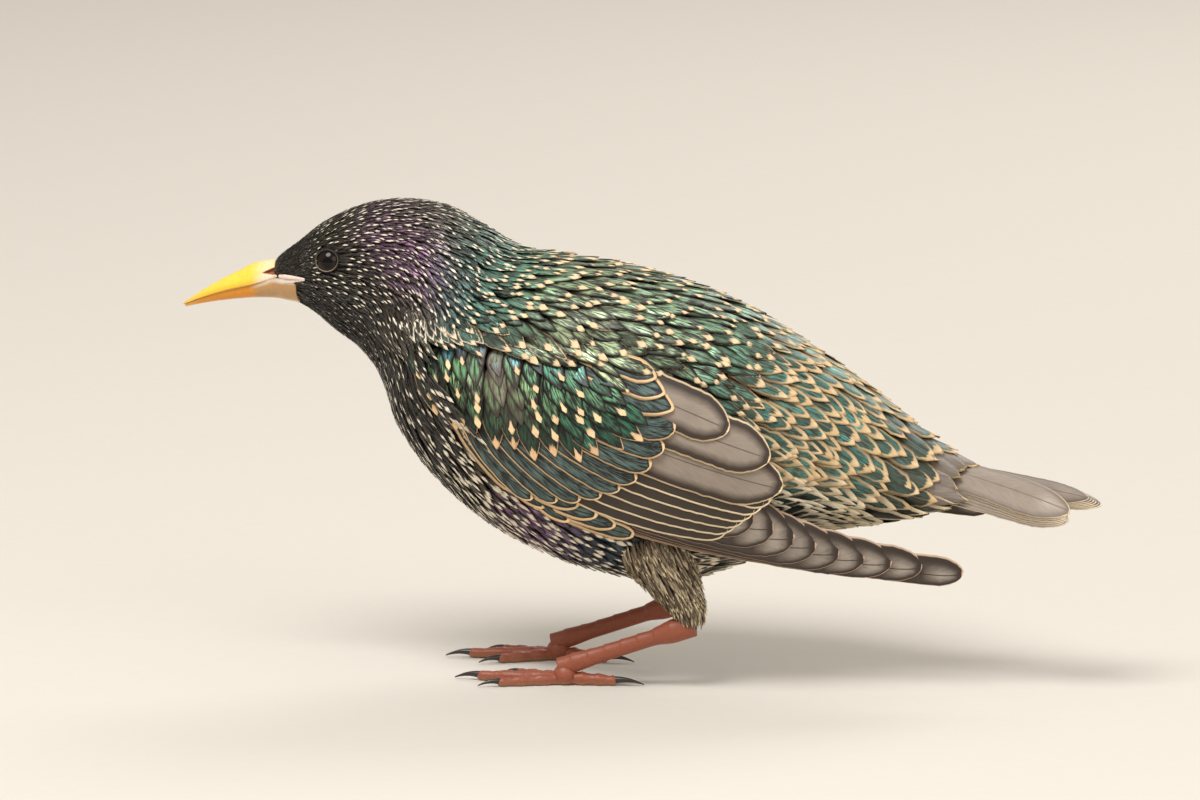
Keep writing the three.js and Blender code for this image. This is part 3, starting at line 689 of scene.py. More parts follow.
def vane_finish(name, rough, metal, streaks, relief, window, slant, contrast=1.0, fray=0.9,
                worn=0.45, blur=0.5):
    """Keratin barbs on a shaft, with a tip mark, a fringe and a band that each vane gives.

    streaks holds where the gloss begins and is full in the noise over the barbs, window how many
    mm before the tip it starts and is full, and where it ends again, slant the angle in degrees
    between shaft and barbs, fray how ragged the fringe and the band are, worn how dull the fringe
    grows away from the tip, and blur how soft the band's inner edge is.
    """
    made, tree, surface = new_finish(name)
    add = partial(node, tree)
    own = add("SeparateXYZ", add("UVMap", uv_map="Feather"))
    given = {}
    for key in ("size", "marks", "band"):
        source = add("Attribute", attribute_name=key)
        given[key] = add("SeparateXYZ", source.outputs["Vector"]).outputs
    colour = {key: add("Attribute", attribute_name=key).outputs["Color"]
              for key in VANE_COLOURS}
    breadth, length, seed = given["size"]
    mark_slope, mark_length, fringe_width = given["marks"]
    band_width, shaft_dark, gloss_share = given["band"]

    centred = add("Math", own.outputs[0], 2.0, -1.0, operation="MULTIPLY_ADD")
    aside = add("Math", centred, operation="ABSOLUTE")
    off = add("Math", aside, breadth, operation="MULTIPLY")
    to_edge = add("Math", breadth, off, operation="SUBTRACT")
    left = add("Math", 1.0, own.outputs[1], operation="SUBTRACT")
    to_tip = add("Math", left, length, operation="MULTIPLY")
    run = add("Math", own.outputs[1], length, operation="MULTIPLY")
    rim = add("Math", to_edge, to_tip, operation="MINIMUM")

    # Streaks along the barbs, which leave the shaft at a slant, and broader ones over several barbs
    beside = add("Math", off, math.cos(slant * DEGREES), operation="MULTIPLY")
    beside = add("Math", run, -math.sin(slant * DEGREES), beside,
                  operation="MULTIPLY_ADD")
    # Every vane takes its streaks from a place of its own in the noise
    apart = add("Math", seed, 91.0, operation="MULTIPLY")
    grains = []
    for width, stretch in ((BARB_STREAK, 0.45), (4 * BARB_STREAK, 0.3)):
        fine = add("Math", beside, 1 / width, operation="MULTIPLY")
        long_way = add("Math", run, stretch, operation="MULTIPLY")
        place = add("CombineXYZ", fine, long_way, apart)
        noise = add("TexNoise", named={"Vector": place, "Scale": 1.0, "Detail": 2.0})
        grains.append(noise.outputs[0])
    grain = grains[0]
    both = add("Math", grains[0], grains[1], operation="ADD")
    both = add("Math", both, 0.5, operation="MULTIPLY")
    wobble = add("Math", both, 0.5, operation="SUBTRACT")
    ragged = add("Math", wobble, fray, rim, operation="MULTIPLY_ADD")

    # The pale tip, which runs to a point towards the root, and the pale fringe
    notch = add("Math", off, mark_slope, operation="MULTIPLY")
    inset = add("Math", mark_length, to_tip, operation="SUBTRACT")
    inset = add("Math", inset, notch, operation="SUBTRACT")
    loose = add("Math", wobble, mark_length, operation="MULTIPLY")
    inset = add("Math", loose, 1.6, inset, operation="MULTIPLY_ADD")
    tip = add("MapRange", inset, -0.12, 0.3)
    fringe_in = add("Math", fringe_width, ragged, operation="SUBTRACT")
    fringe = add("MapRange", fringe_in, -0.06, 0.12)
    pale = add("Math", tip, fringe, operation="MAXIMUM")

    # The dark band inside the fringe, the dark shaft, and the gloss between them
    band_in = add("Math", band_width, ragged, operation="SUBTRACT")
    band = add("MapRange", band_in, -blur, blur)
    shaft = add("MapRange", off, 0.2, 0.05)
    shaft = add("Math", shaft, shaft_dark, operation="MULTIPLY")
    dark = add("Math", band, shaft, operation="MAXIMUM")
    # Painted sheen: on the glossy feathers the streaks mix the sheen colour into the base colour as
    # painted glints, over the feathers' own structural colour; the metallic part then reflects the
    # lamps in that colour
    gloss = add("MapRange", both, streaks[0], streaks[1])
    gloss = add("Math", gloss, gloss_share, operation="MULTIPLY")
    start, full, end = window
    near = add("MapRange", to_tip, start, full)
    gloss = add("Math", gloss, near, operation="MULTIPLY")
    past = add("MapRange", rim, end * 0.4, end * 1.3)
    gloss = add("Math", gloss, past, operation="MULTIPLY")
    bare = add("Math", 1.0, dark, operation="SUBTRACT")
    gloss = add("Math", gloss, bare, operation="MULTIPLY")

    shade = add("MapRange", both, 0.35, 0.65, 1 - 0.3 * contrast, 1 + 0.25 * contrast)
    ground = add("MixRGB", 1.0, colour["ground"], shade, blend_type="MULTIPLY")
    glossy = add("MixRGB", gloss, ground, colour["sheen"])
    banded = add("MixRGB", dark, glossy, colour["edge"])
    # A fringe grows duller away from the tip
    dull_part = add("MapRange", to_tip, 1.2, 4.5, 0.0, worn)
    light = add("MixRGB", dull_part, colour["pale"], colour["edge"])
    light = add("MixRGB", 0.5, light, shade, blend_type="MULTIPLY")
    final = add("MixRGB", pale, banded, light)

    not_pale = add("Math", 1.0, pale, operation="SUBTRACT")
    shine = add("Math", gloss, metal, operation="MULTIPLY")
    shine = add("Math", shine, not_pale, operation="MULTIPLY")
    dull = add("MapRange", pale, 0.0, 1.0, rough, 0.8)
    bump = add("Bump", named={"Height": grain, "Distance": relief * MM, "Strength": 1.0})
    feed(tree, surface, {"Base Color": final, "Metallic": shine, "Roughness": dull,
                         "Specular IOR Level": 0.3, "Normal": bump})
    return made


@keep_once
def glossy_contour_feather(name):
    """Thin melanin layers under keratin: near black, with a metallic streak along each barb."""
    return vane_finish(name, rough=0.38, metal=0.65, streaks=(0.42, 0.6), relief=0.05,
                       window=(12.0, 8.0, 0.05), slant=10)


@keep_once
def streaked_mantle_feather(name):
    """Loose edges round a glossy middle: each feather is a tuft of bright streaks between black."""
    return vane_finish(name, rough=0.36, metal=0.6, streaks=(0.43, 0.58), relief=0.05,
                       window=(11.0, 7.0, 0.7), slant=8, fray=1.2, worn=0.65)


@keep_once
def silky_covert_feather(name):
    """Long loose barbs nearly along the shaft: soft metallic streaks that run down the wing."""
    return vane_finish(name, rough=0.34, metal=0.7, streaks=(0.45, 0.6), relief=0.04,
                       window=(13.0, 8.0, 0.8), slant=4, fray=0.4, worn=0.35)


@keep_once
def dark_greater_covert(name):
    """Firm dark vanes with a faint steely gloss along the middle and a clear buff fringe."""
    return vane_finish(name, rough=0.42, metal=0.5, streaks=(0.42, 0.62), relief=0.03,
                       window=(40.0, 20.0, 1.2), slant=8, contrast=0.7, fray=0.25, worn=0.1)


@keep_once
def satin_flight_feather(name):
    """Stiff, closely hooked barbs: an even satin brown, paler in the middle near the tip."""
    return vane_finish(name, rough=0.5, metal=0.05, streaks=(0.1, 0.5), relief=0.015,
                       window=(9.0, 5.0, 2.6), slant=20, contrast=0.4, fray=0.12, worn=0.1,
                       blur=0.9)


@keep_once
def loose_thigh_feather(name):
    """Barbs without hooks, as soft as hair: dull and streaky."""
    return vane_finish(name, rough=0.85, metal=0.0, streaks=(0.3, 0.7), relief=0.05,
                       window=(9.0, 5.0, 0.05), slant=10)


def painted_skin(name, rough, grain_mm, relief_mm, coat, spread=0.18):
    """A finish whose colour each point of the mesh gives, broken by a fine grain."""
    made, tree, surface = new_finish(name)
    place = node(tree, "TexCoord")
    colour = node(tree, "Attribute", attribute_name="ground")
    grain = node(tree, "TexNoise", named={
        "Vector": place.outputs["Object"], "Scale": 1 / (grain_mm * MM), "Detail": 3.0})
    shade = node(tree, "MapRange", grain, 0.3, 0.7, 1 - spread, 1 + spread)
    final = node(tree, "MixRGB", 1.0, colour, shade, blend_type="MULTIPLY")
    bump = node(tree, "Bump",
                named={"Height": grain, "Distance": relief_mm * MM, "Strength": 0.5})
    feed(tree, surface, {"Base Color": final, "Roughness": rough, "Coat Weight": coat,
                         "Coat Roughness": 0.25, "Normal": bump})
    return made


@keep_once
def skin_with_down(name):
    """What shows deep between feathers: dull down in the dark of the feathers over it."""
    return painted_skin(name, rough=0.95, grain_mm=0.8, relief_mm=0.2, coat=0.0, spread=0.4)


@keep_once
def horn_of_the_bill(name):
    """Smooth keratin over bone, waxy yellow to orange, satin with a soft clear surface."""
    return painted_skin(name, rough=0.42, grain_mm=0.9, relief_mm=0.05, coat=0.25, spread=0.06)


@keep_once
def scaled_leg_skin(name):
    """Overlapping reddish-brown scutes with paler joints, satin and slightly dusty."""
    return painted_skin(name, rough=0.5, grain_mm=0.35, relief_mm=0.05, coat=0.1)


@keep_once
def dark_claw_horn(name):
    """Polished blackish horn, browner at the root."""
    return painted_skin(name, rough=0.3, grain_mm=0.5, relief_mm=0.02, coat=0.3)


@keep_once
def bare_lid_skin(name):
    """Finely beaded grey skin round the eye."""
    return painted_skin(name, rough=0.6, grain_mm=0.3, relief_mm=0.06, coat=0.0)


@keep_once
def wet_eye(name):
    """A dark brown iris and black pupil under a clear wet cornea: a sharp bright highlight."""
    made, tree, surface = new_finish(name)
    colour = node(tree, "Attribute", attribute_name="ground")
    feed(tree, surface, {"Base Color": colour, "Roughness": 0.06, "Specular IOR Level": 0.25})
    return made


PAPER_GRAIN = 4.0  # mm, far coarser than real fibres, which would not show at this distance


@keep_once
def pale_studio_paper(name):
    """A wide sheet of matte uncoated paper: no highlight, a barely visible fibre."""
    made, tree, surface = new_finish(name)
    place = node(tree, "TexCoord")
    grain = node(tree, "TexNoise", named={
        "Vector": place.outputs["Object"], "Scale": 1 / (PAPER_GRAIN * MM)})
    tint = node(tree, "ValToRGB", grain)
    tint.color_ramp.elements[0].color = rgba("#d3cdc3")
    tint.color_ramp.elements[1].color = rgba("#d6d0c6")
    feed(tree, surface, {"Base Color": tint, "Roughness": 0.9})
    return made


# The body's coat

def colours():
    """The colours that a user has set, as linear red, green and blue."""
    group = bpy.context.scene.starling_colours
    return {key: np.array(getattr(group, key)) for key in StarlingColours.__annotations__}


def tinted(pairs, points):
    """Mixes colours by how near each point is to each colour's own place on the bird."""
    weights, tints = [], []
    for x, z, radius, weight, tint in pairs:
        far = np.hypot(points[:, 0] - x, points[:, 2] - z) / radius
        weights.append(weight * np.exp(-far ** 2))
        tints.append(tint)
    weights = np.array(weights)
    weights = weights / np.maximum(weights.sum(0), 1e-9)
    return np.einsum("kn,kc->nc", weights, np.array(tints))


def sheen_fields():
    """Where each gloss lies on the bird, seen from its side: x, z, spread, strength, colour. Each
    gloss is a structural colour that the finish also paints into the base colour as painted sheen.
    """
    c = colours()
    green, lime, teal, blue, purple = (c[k] for k in ("green", "lime", "teal", "blue", "purple"))
    soot, bronze = linear("#4a443f"), linear("#7d7457")
    return [
        (-78, 90, 10, 1.5, soot),
        (-66, 84, 9, 1.5, soot),
        (-58, 76, 9, 1.2, soot),
        (-64, 101, 8, 1.0, mix(soot, bronze, 0.3)),
        (-56, 99, 5, 1.2, mix(soot, purple, 0.75)),
        (-58, 90, 7, 1.2, soot),
        (-50, 101, 5, 0.7, mix(soot, bronze, 0.5)),
        (-48, 93, 6, 2.2, purple),
        (-50, 86, 7, 1.0, bronze * 0.7),
        (-41, 99, 6, 0.8, bronze * 0.8),
        (-40, 90, 6, 0.7, mix(soot, blue, 0.4)),
        (-35, 93, 8, 1.0, mix(soot, teal, 0.5) * 1.5),
        (-28, 84, 8, 0.9, mix(soot, teal, 0.6) * 1.5),
        (-22, 92, 11, 1.0, green),
        (-8, 87, 9, 0.9, lime),
        (2, 90, 10, 0.9, green),
        (8, 79, 9, 0.7, lime * 0.9),
        (20, 82, 12, 1.0, green),
        (30, 70, 14, 1.1, teal),
        (45, 60, 14, 1.2, teal * 1.2),
        (64, 52, 10, 0.8, soot),
        (-46, 62, 10, 1.0, soot),
        (-42, 48, 10, 0.8, soot),
        (-32, 38, 9, 0.8, bronze * 0.5),
        (-18, 34, 8, 1.6, purple * 0.8),
        (-5, 27, 12, 1.0, blue * 0.4),
        (14, 26, 14, 1.0, soot),
        (34, 34, 14, 0.8, soot),
    ]


MARK_LENGTH = over_body(
    [0.0, 0.7, 1.2, 1.3, 1.3, 1.4, 1.5, 1.9, 2.2, 2.2, 2.2, 2.2, 2.2, 2.3, 2.3, 1.8, 1.8],
    [0.0, 0.6, 1.2, 1.4, 1.4, 1.6, 1.9, 2.3, 2.6, 2.7, 2.3, 2.0, 2.0, 2.2, 2.4, 2.4, 2.4])


def spotted(at, share, row_gap, row, column):
    """Which feathers carry a mark: every one on the back, fewer where they are small."""
    half = (column + row // 2) % 2 == 0
    every = (row_gap > 2.1) | ((at > 5.8) & (share < 0.6))
    return np.where(every, True, np.where(at > 3.3, half, half & (row % 2 == 0)))


def body_vanes(at, turn, row_number, column_number, rng):
    """One value for each body feather, from where its root is.

    The shares from upper to fine say how much a feather belongs to a part of the bird. They go
    by stations, which count the rows of BODY, and by the share from the back to the belly.
    """
    c = colours()
    sizes = bpy.context.scene.starling_sizes
    count = len(at)
    share = belly_share(turn)
    row, column = ROW_GAP(at, turn), COLUMN_GAP(at, turn)
    points = body_surface(np.minimum(at + 0.4, 17), turn)
    vary = rng.normal(0, 1, (4, count))
    chance = rng.random((3, count))
    upper = 1 - smooth((share - 0.38 - 0.1 * smooth((at - 10.5) / 1.5)) / 0.12)
    rump = smooth((at - 10.4) / 1.4) * upper
    vent = smooth((at - 11.6) / 0.8) * smooth((share - 0.5) / 0.12)
    flank = smooth((at - 9.8) / 1.6) * smooth((share - 0.44) / 0.12) * (1 - vent)
    longest = smooth((at - 13.9) / 0.15) * upper
    hackle = smooth((at - 2.2) / 1.5) * (1 - smooth((at - 7.5) / 1)) * smooth((share - 0.5) / 0.3)
    face = 1 - smooth((at - 0.8) / 1.2)
    throat = (1 - smooth((at - 3.6) / 1.6)) * smooth((share - 0.62) / 0.14)
    fine = 1 - smooth((row - 1.4) / 1.6)
    marked = spotted(at, share, row, row_number, column_number) & (chance[0] > 0.15)
    grow = np.where(marked, 1.06, 1.0)
    length = row * (sizes.overlap + 0.9 * fine) * (1 + 0.09 * vary[0]) * grow
    length = length * (1 + 0.35 * hackle + 0.2 * vent - 0.15 * smooth((at - 13.6) / 0.3))
    half = column * (0.62 + 0.05 * vary[1]) * np.where(marked, 1.0, 0.92) * (1 + 0.2 * longest)
    mark = MARK_LENGTH(at, turn) * (1 + 0.16 * vary[2]) * (1 - 0.5 * throat) * (1 - face)
    mark = np.where(marked, mark * (1 - longest), -1.0)
    warm = smooth((at - 5.5) / 2) * (1 - smooth((share - 0.42) / 0.2))
    white = mix(c["cream"], c["buff"], np.clip(warm, 0, 1)[:, None])
    white = mix(white, linear("#cfae80"), (rump * (0.25 + 0.6 * chance[1]))[:, None])
    white = mix(white, linear("#e8d8b6"), np.maximum(vent, 0.6 * flank)[:, None])
    bright = (1 + 0.3 * vary[3]).clip(0.35, 1.8)[:, None]
    sheen = tinted(sheen_fields(), points) * bright
    ground = c["black"] * (1 + 0.22 * vary[1])[:, None].clip(0.5, 1.6)
    olive = 0.75 * smooth((at - 6.5) / 2) * upper * (0.5 + 0.5 * chance[2])
    ground = mix(ground, linear("#484a3a"), olive[:, None])
    ground = mix(ground, linear("#1a1512"), np.clip(face + throat, 0, 1)[:, None] * 0.7)
    ground = mix(ground, linear("#1d1815"), vent[:, None])
    ground = mix(ground, linear("#83776d"), longest[:, None])
    back = smooth((at - 7.0) / 1.5) * upper
    fringe = mix(-0.5, 0.0, back) + rump * 0.95 + vent * 1.7 + flank * 1.1 + 0.08 * vary[2]
    fringe = np.maximum(fringe, 0.35 * wing_edge(points) - 0.05)
    edge = mix(linear("#1c1c17"), linear("#a08f68"), (rump * chance[1])[:, None])
    edge = mix(edge, linear("#a8977a"), vent[:, None])
    gloss = mix(1.0, 0.3, np.clip(face + throat, 0, 1)) * (1 - 0.9 * vent) * (1 - longest)
    return {
        "length": length, "half": half, "seed": rng.random(count), "base": 0.55,
        "point": np.clip(0.5 + 0.2 * fine + 0.1 * hackle + 0.25 * rump, 0, 1),
        "taper": np.clip(0.5 + 0.15 * fine - 0.15 * rump, 0.2, 0.9),
        "ragged": 0.1, "shaft_off": 0.0, "skew": 0.0,
        "root_out": -COAT_DEPTH(at, turn) * 0.85,
        "tip_out": 0.05 + 0.05 * row * chance[2] + 0.08 * marked - 1.8 * smooth((at - 13.2) / 1.0),
        "lift": 0.6, "camber": 0.1, "roll": 0.06 * rng.normal(0, 1, count),
        "thick": 0.05 + 0.02 * row,
        "ground": ground, "sheen": sheen.clip(0, 1), "pale": white, "edge": edge,
        "marks": stack(mix(1.9 + 1.2 * fine, 1.3, back) - 1.2 * rump - 0.9 * flank, mark,
                       fringe * (1 - 0.4 * longest)),
        "band": stack(np.where(vent > 0.3, -1.0, mix(-1.0, 0.45, back)), 0.5 * back, gloss),
    }


def wing_edge(points):
    """How near a point is to the line along which the back's feathers meet the wing's coverts."""
    found = np.zeros(len(points))
    for name, side in SIDES.items():
        along, above = wing_coordinates(name, points)
        top, _ = wing_rims(along)
        near = np.exp(-((above - top - 1.0) / 1.8) ** 2) * smooth((along + 5) / 6)
        found = np.maximum(found, near * smooth((40 - along) / 8) * (points[:, 1] * side > 0))
    return found


def select(birds, keep):
    """The values of the feathers that are kept; one value for all of them stays as it is."""
    return {key: value[keep] if np.ndim(value) else value for key, value in birds.items()}


def kept_roots(at, turn):
    """Leaves out feathers under the wings, on the bill and over the eyes."""
    points = body_surface(at, turn)
    x, y, z = points.T
    keep = np.ones(len(at), bool)
    for name, side in SIDES.items():
        along, above = wing_coordinates(name, points)
        top, bottom = wing_rims(along)
        rim = top + 0.5 - 2 * smooth((along - 30) / 6) - 8 * smooth((along - 50) / 10)
        under = (along > 3) & (along < 70) & (above < rim) & (above > bottom + 4)
        keep &= ~(under & (y * side > 0))
    # The bare base of the bill, its edge against the feathers, the gape and the eye
    keep &= ~((z < 88.5) & (z > 80) & (x < -79.0))
    keep &= ~((z < 87.9) & (z > 82.2) & (x < -77.3 - 1.2 * np.sin(2.4 * z + 0.5)))
    keep &= ~((abs(z - 87.7) < 0.75) & (x < -75.2))
    keep &= np.hypot(x - EYE_X, z - EYE_Z) > 2.75 - 0.4 * (x > EYE_X)
    return keep


def shortened(at, turn, length):
    """Feathers ahead of the eye stop short of its lid."""
    points = body_surface(at, turn)
    far = np.hypot(points[:, 0] - EYE_X, points[:, 2] - EYE_Z)
    ahead = (points[:, 0] < EYE_X) & (abs(points[:, 2] - EYE_Z) < 3.0)
    return np.where(ahead, np.minimum(length, np.maximum(far - 2.5, 0.6)), length)


WING_STACK = (3.1, 2.2)  # thickness of the feathers on a wing's sheet, in front and behind


def over_wings(points, out):
    """Lifts what lies over the upper and front edge of a wing out to the wing's own feathers."""
    points = points.copy()
    for name, side in SIDES.items():
        along, above = wing_coordinates(name, points)
        thickness = mix(*WING_STACK, smooth((along - 10) / 40))
        wanted = wing_reach(along, above) + thickness + 0.4 + 0.8 * out
        top, bottom = wing_rims(along)
        inside = smooth((along + 12) / 14) * smooth((60 - along) / 10)
        low = mix(3, -2, smooth((along - 12) / 8))
        inside = inside * smooth((top + 3.5 - above) / 5) * smooth((above - bottom + low) / 6)
        y = points[..., 1] * side
        lift = np.maximum(wanted - y, 0) * inside
        points[..., 1] = np.where(y > 0, (y + lift) * side, points[..., 1])
    return points


def over_lids(points, out):
    """Lifts the feathers round the eye over the skin that its lid spreads under them."""
    points = points.copy()
    x, z = points[..., 0] - EYE_X, points[..., 2] - EYE_Z
    far = np.hypot(x, z)
    rise = np.interp(far, [2.4, 2.6, 2.9, 3.3, 4.0, 5.5], [2.4, 2.3, 1.85, 1.2, 0.3, -2.0])
    slant = x * math.tan(LID_CANT * DEGREES) - z * math.tan(LID_ROLL * DEGREES)
    wanted = EYE_OUT - EYE_RADIUS + rise + slant + 0.2 + 0.5 * out
    y = np.abs(points[..., 1])
    near = (far < 5.4) & (y > 5)
    points[..., 1] += np.sign(points[..., 1]) * np.maximum(wanted - y, 0) * near
    return points


def over_thighs(points, out):
    """Lifts the flank's feathers out over the thighs."""
    points = points.copy()
    for name, (middle, forward) in STANCE.items():
        side = SIDES[name]
        x, z = points[..., 0], points[..., 2]
        stations = np.arange(len(THIGH))
        step = np.interp(-z, -THIGH[:, 1], stations)
        centre_x, radius, inward = (np.interp(step, stations, THIGH[:, k]) for k in (0, 2, 3))
        centre_x, centre_y = centre_x - forward, abs(middle) - inward
        off = np.clip(abs(x - centre_x) / (radius + 1.5), 0, 1)
        wanted = centre_y + (radius + 0.9) * (1 - off ** 2) ** 0.8 + 0.6 * out
        inside = smooth((z - 17) / 5) * smooth((46 - z) / 10)
        y = points[..., 1] * side
        lift = np.maximum(wanted - y, 0) * inside * (off < 1) * smooth((y - 10) / 5)
        points[..., 1] = np.where(y > 4, (y + lift) * side, points[..., 1])
    return points


def coat_place(at, turn, heading, length):
    """place() for the coat, which lies on the body and over the wings, the thighs and the lids."""
    lie = lie_on(body_surface, at, turn, heading, length)

    def place(across, along, out):
        return over_lids(over_thighs(over_wings(lie(across, along, out), out), out), out)
    return place


def coat_between(name, first, last, grid, seed, back=None, finish=glossy_contour_feather):
    """The coat between two stations, all round or only its back or belly half.

    On the map that the finish is baked to, each feather keeps to a small patch at its root's
    place on an unwrap of the body's own shape.
    """
    rng = np.random.default_rng(seed)
    at, turn, row, column = staggered_roots(body_surface, first, last, ROW_GAP, COLUMN_GAP, rng)
    share = belly_share(turn)
    birds = body_vanes(at, turn, row, column, rng)
    keep = kept_roots(at, turn)
    if back is not None:
        keep &= (share < 0.5) == back
    at, turn, share, birds = at[keep], turn[keep], share[keep], select(birds, keep)
    birds["length"] = shortened(at, turn, birds["length"])
    hang = 12 * smooth((at - 7) / 1.5) * (1 - smooth((at - 11) / 2)) * smooth(share / 0.25)
    hang = hang * (1 - smooth((share - 0.42) / 0.1))
    heading = (-np.sign(turn) * hang + rng.normal(0, 5, len(at))) * DEGREES
    place = coat_place(at, turn, heading, birds["length"])
    return lay_vanes(name, place, birds, grid, finish(),
                     bake=bake_places(at, turn, first, last))


# Operators

@piece_operator
class STARLING_OT_skin(bpy.types.Operator):
    """One skin for the head, neck, body and thighs, under the coat"""

    bl_idname = "starling.skin"
    bl_label = "Skin"

    def execute(self, context):
        at, turn = np.meshgrid(np.linspace(0, SKIN_END, 120), full_turn(72), indexing="ij")
        rings = body_surface(at, turn, -COAT_DEPTH(at, turn))
        piece = solid_piece("skin", [tube(leaned(rings)), *(thigh_skin(n) for n in SIDES)],
                            skin_with_down())
        blend = piece.modifiers.new("One skin", "REMESH")
        blend.mode = "VOXEL"
        blend.voxel_size = SKIN_GRAIN * MM
        blend.use_smooth_shade = True
        context.view_layer.objects.active = piece
        with context.temp_override(object=piece, active_object=piece, selected_objects=[piece]):
            bpy.ops.object.modifier_apply(modifier=blend.name)
        places = np.zeros(3 * len(piece.data.vertices))
        piece.data.vertices.foreach_get("co", places)
        paint(piece, "ground", skin_colours(places.reshape(-1, 3) / MM - SHIFT))
        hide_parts("head", "neck", "torso", "thigh_left", "thigh_right")
        return {"FINISHED"}


def skin_colours(points):
    """The down under the coat, in a darker shade of the feathers that grow from it."""
    x, _, z = points.T
    made = mix(colours()["black"], tinted(sheen_fields(), points), 0.15)
    legs = smooth((24 - z) / 6) * (abs(x - 5) < 16)
    made = mix(made, linear("#4a3b2e"), legs[:, None])
    return mix(made, linear("#51483f"), smooth((x - 56) / 8)[:, None])


def thigh_surface(name):
    """The outer surface of a thigh's soft feathers."""
    y, forward = STANCE[name]
    x, z, radius, inward = THIGH.T
    return limb_surface(stack(x - forward, y - np.sign(y) * inward, z), radius, depth=1.05)


def thigh_skin(name):
    """The skin of a thigh, deep under its feathers."""
    surface = thigh_surface(name)
    at, turn = np.meshgrid(np.linspace(0, len(THIGH) - 1, 40), full_turn(32), indexing="ij")
    return tube(surface(at, turn, -1.6))


@piece_operator
class STARLING_OT_head_coat(bpy.types.Operator):
    """Fine feathers of the head and neck"""

    bl_idname = "starling.head_coat"
    bl_label = "Head and Neck Feathers"

    def execute(self, context):
        coat_between("coat_face", 0.02, 3.0, (3, 6, 1.3), seed=11)
        coat_between("coat_nape", 3.0, 5.0, (3, 7, 1.3), seed=12)
        coat_between("coat_neck", 5.0, 7.5, (5, 6, 1.3), seed=13)
        return {"FINISHED"}


@piece_operator
class STARLING_OT_body_coat(bpy.types.Operator):
    """Feathers of the back, the rump, the breast, the belly and the tail coverts"""

    bl_idname = "starling.body_coat"
    bl_label = "Body Feathers"

    def execute(self, context):
        coat_between("coat_back", 7.5, 12.5, (7, 9, 1.3), seed=14, back=True,
                     finish=streaked_mantle_feather)
        coat_between("coat_belly", 7.5, 12.5, (5, 7, 1.3), seed=15, back=False)
        coat_between("coat_rump", 12.5, 14.45, (7, 11, 1.3), seed=16,
                     finish=streaked_mantle_feather)
        return {"FINISHED"}


@piece_operator
class STARLING_OT_thigh_coat(bpy.types.Operator):
    """Soft hair-like feathers down to the ankles"""

    bl_idname = "starling.thigh_coat"
    bl_label = "Thigh Feathers"

    def execute(self, context):
        for name in SIDES:
            rng = np.random.default_rng(21)
            surface = thigh_surface(name)
            gaps = (over_body([gap] * 6, [gap] * 6) for gap in (1.3, 0.9))
            at, turn, _, _ = staggered_roots(surface, 0.8, 4.3, *gaps, rng, jitter=0.25)
            count = len(at)
            dark, light = linear("#665546"), linear("#cdbb9b")
            streak = (rng.random(count) ** 1.8)[:, None]
            birds = {
                "length": mix(5.0, 2.6, at / 5) * (1 + 0.15 * rng.normal(0, 1, count)),
                "half": 0.55, "seed": rng.random(count), "base": 0.5, "point": 1.0, "taper": 0.7,
                "shaft_off": 0.0, "skew": 0.0, "ragged": 0.15,
                "root_out": -1.4, "tip_out": -0.5 + 0.4 * rng.random(count),
                "lift": 0.7, "camber": 0.15, "roll": 0.1 * rng.normal(0, 1, count), "thick": 0.1,
                "ground": mix(dark, light, streak), "sheen": mix(dark, light, streak),
                "pale": np.tile(linear("#dccba4"), (count, 1)), "edge": np.tile(dark, (count, 1)),
                "marks": stack(0.8, rng.random(count) * 2 - 0.5, -1.0),
                "band": np.tile([-1.0, 0.0, 0.0], (count, 1)),
            }
            heading = rng.normal(0, 6, count) * DEGREES
            place = lie_on(surface, at, turn, heading, birds["length"])
            lay_vanes(f"coat_thigh_{name}", place, birds, (3, 6, 1.3), loose_thigh_feather(),
                      lean=False, bake=bake_places(at, turn, 0, len(THIGH) - 1))
        return {"FINISHED"}


# Wings and tail

def on_bow(a, b, c, share):
    """The point of a bowed line from a by way of b to c."""
    a, b, c = (np.array(k, float) for k in (a, b, c))
    return mix(mix(a, b, share), mix(b, c, share), share)


def vane(root, tip, half, layer, **more):
    """One flight or covert feather on a sheet, with what differs from a plain one.

    taper is how many half widths before its tip it starts to close, skew how much its upper
    corner draws back, and root_under how deep its root lies under its tip's layer.
    """
    made = {
        "root": root, "tip": tip, "half": half, "layer": layer, "bow": 0.0, "tilt": 0.4,
        "point": 0.1, "taper": 1.3, "skew": 0.0, "shaft_off": 0.0, "root_under": 0.5, "base": 0.6,
        "fringe": 0.4, "band": 0.0, "shaft": 0.7, "mark": -1.0, "notch": 0.3, "gloss": 0.0,
        "ground": "#7b6f66", "sheen": "#7b6f66", "pale": "#e3c9a2", "edge": "#3a312c",
    }
    made.update(more)
    return made


def shares(count):
    """Even shares from 0 for the first to 1 for the last."""
    return [i / (count - 1) for i in range(count)]


def primaries():
    """The nine long feathers that make the wing's point; share 1 is the outermost."""
    return [
        vane([34, -9 - 11 * share],
             [131 - 47 * (1 - share) ** 0.8, -6.8 + 0.6 * share - 3.6 * math.sin(math.pi * share)],
             8 - 4.2 * share ** 1.6, 0.4 - 0.4 * share,
             bow=-0.3 - 2.6 * share, taper=1.2 + 0.5 * share, skew=0.3 - 0.2 * share,
             shaft_off=-0.3, fringe=0.32, band=1.1, gloss=1.0,
             ground="#4c413a", sheen="#a89d92", edge="#342b26", pale="#cfae92")
        for share in shares(9)]


def secondaries():
    """The six feathers whose fringes make the pale panel below the tertials."""
    return [
        vane([30, -13 + 12 * share], [79.5 + 7 * share, -11.5 + 11 * share], 4.4, 0.7,
             bow=-3 + 2 * share, taper=1.1, skew=0.25, shaft_off=-0.3, fringe=0.95,
             ground="#40372f", pale="#f0dcb8")
        for share in shares(6)]


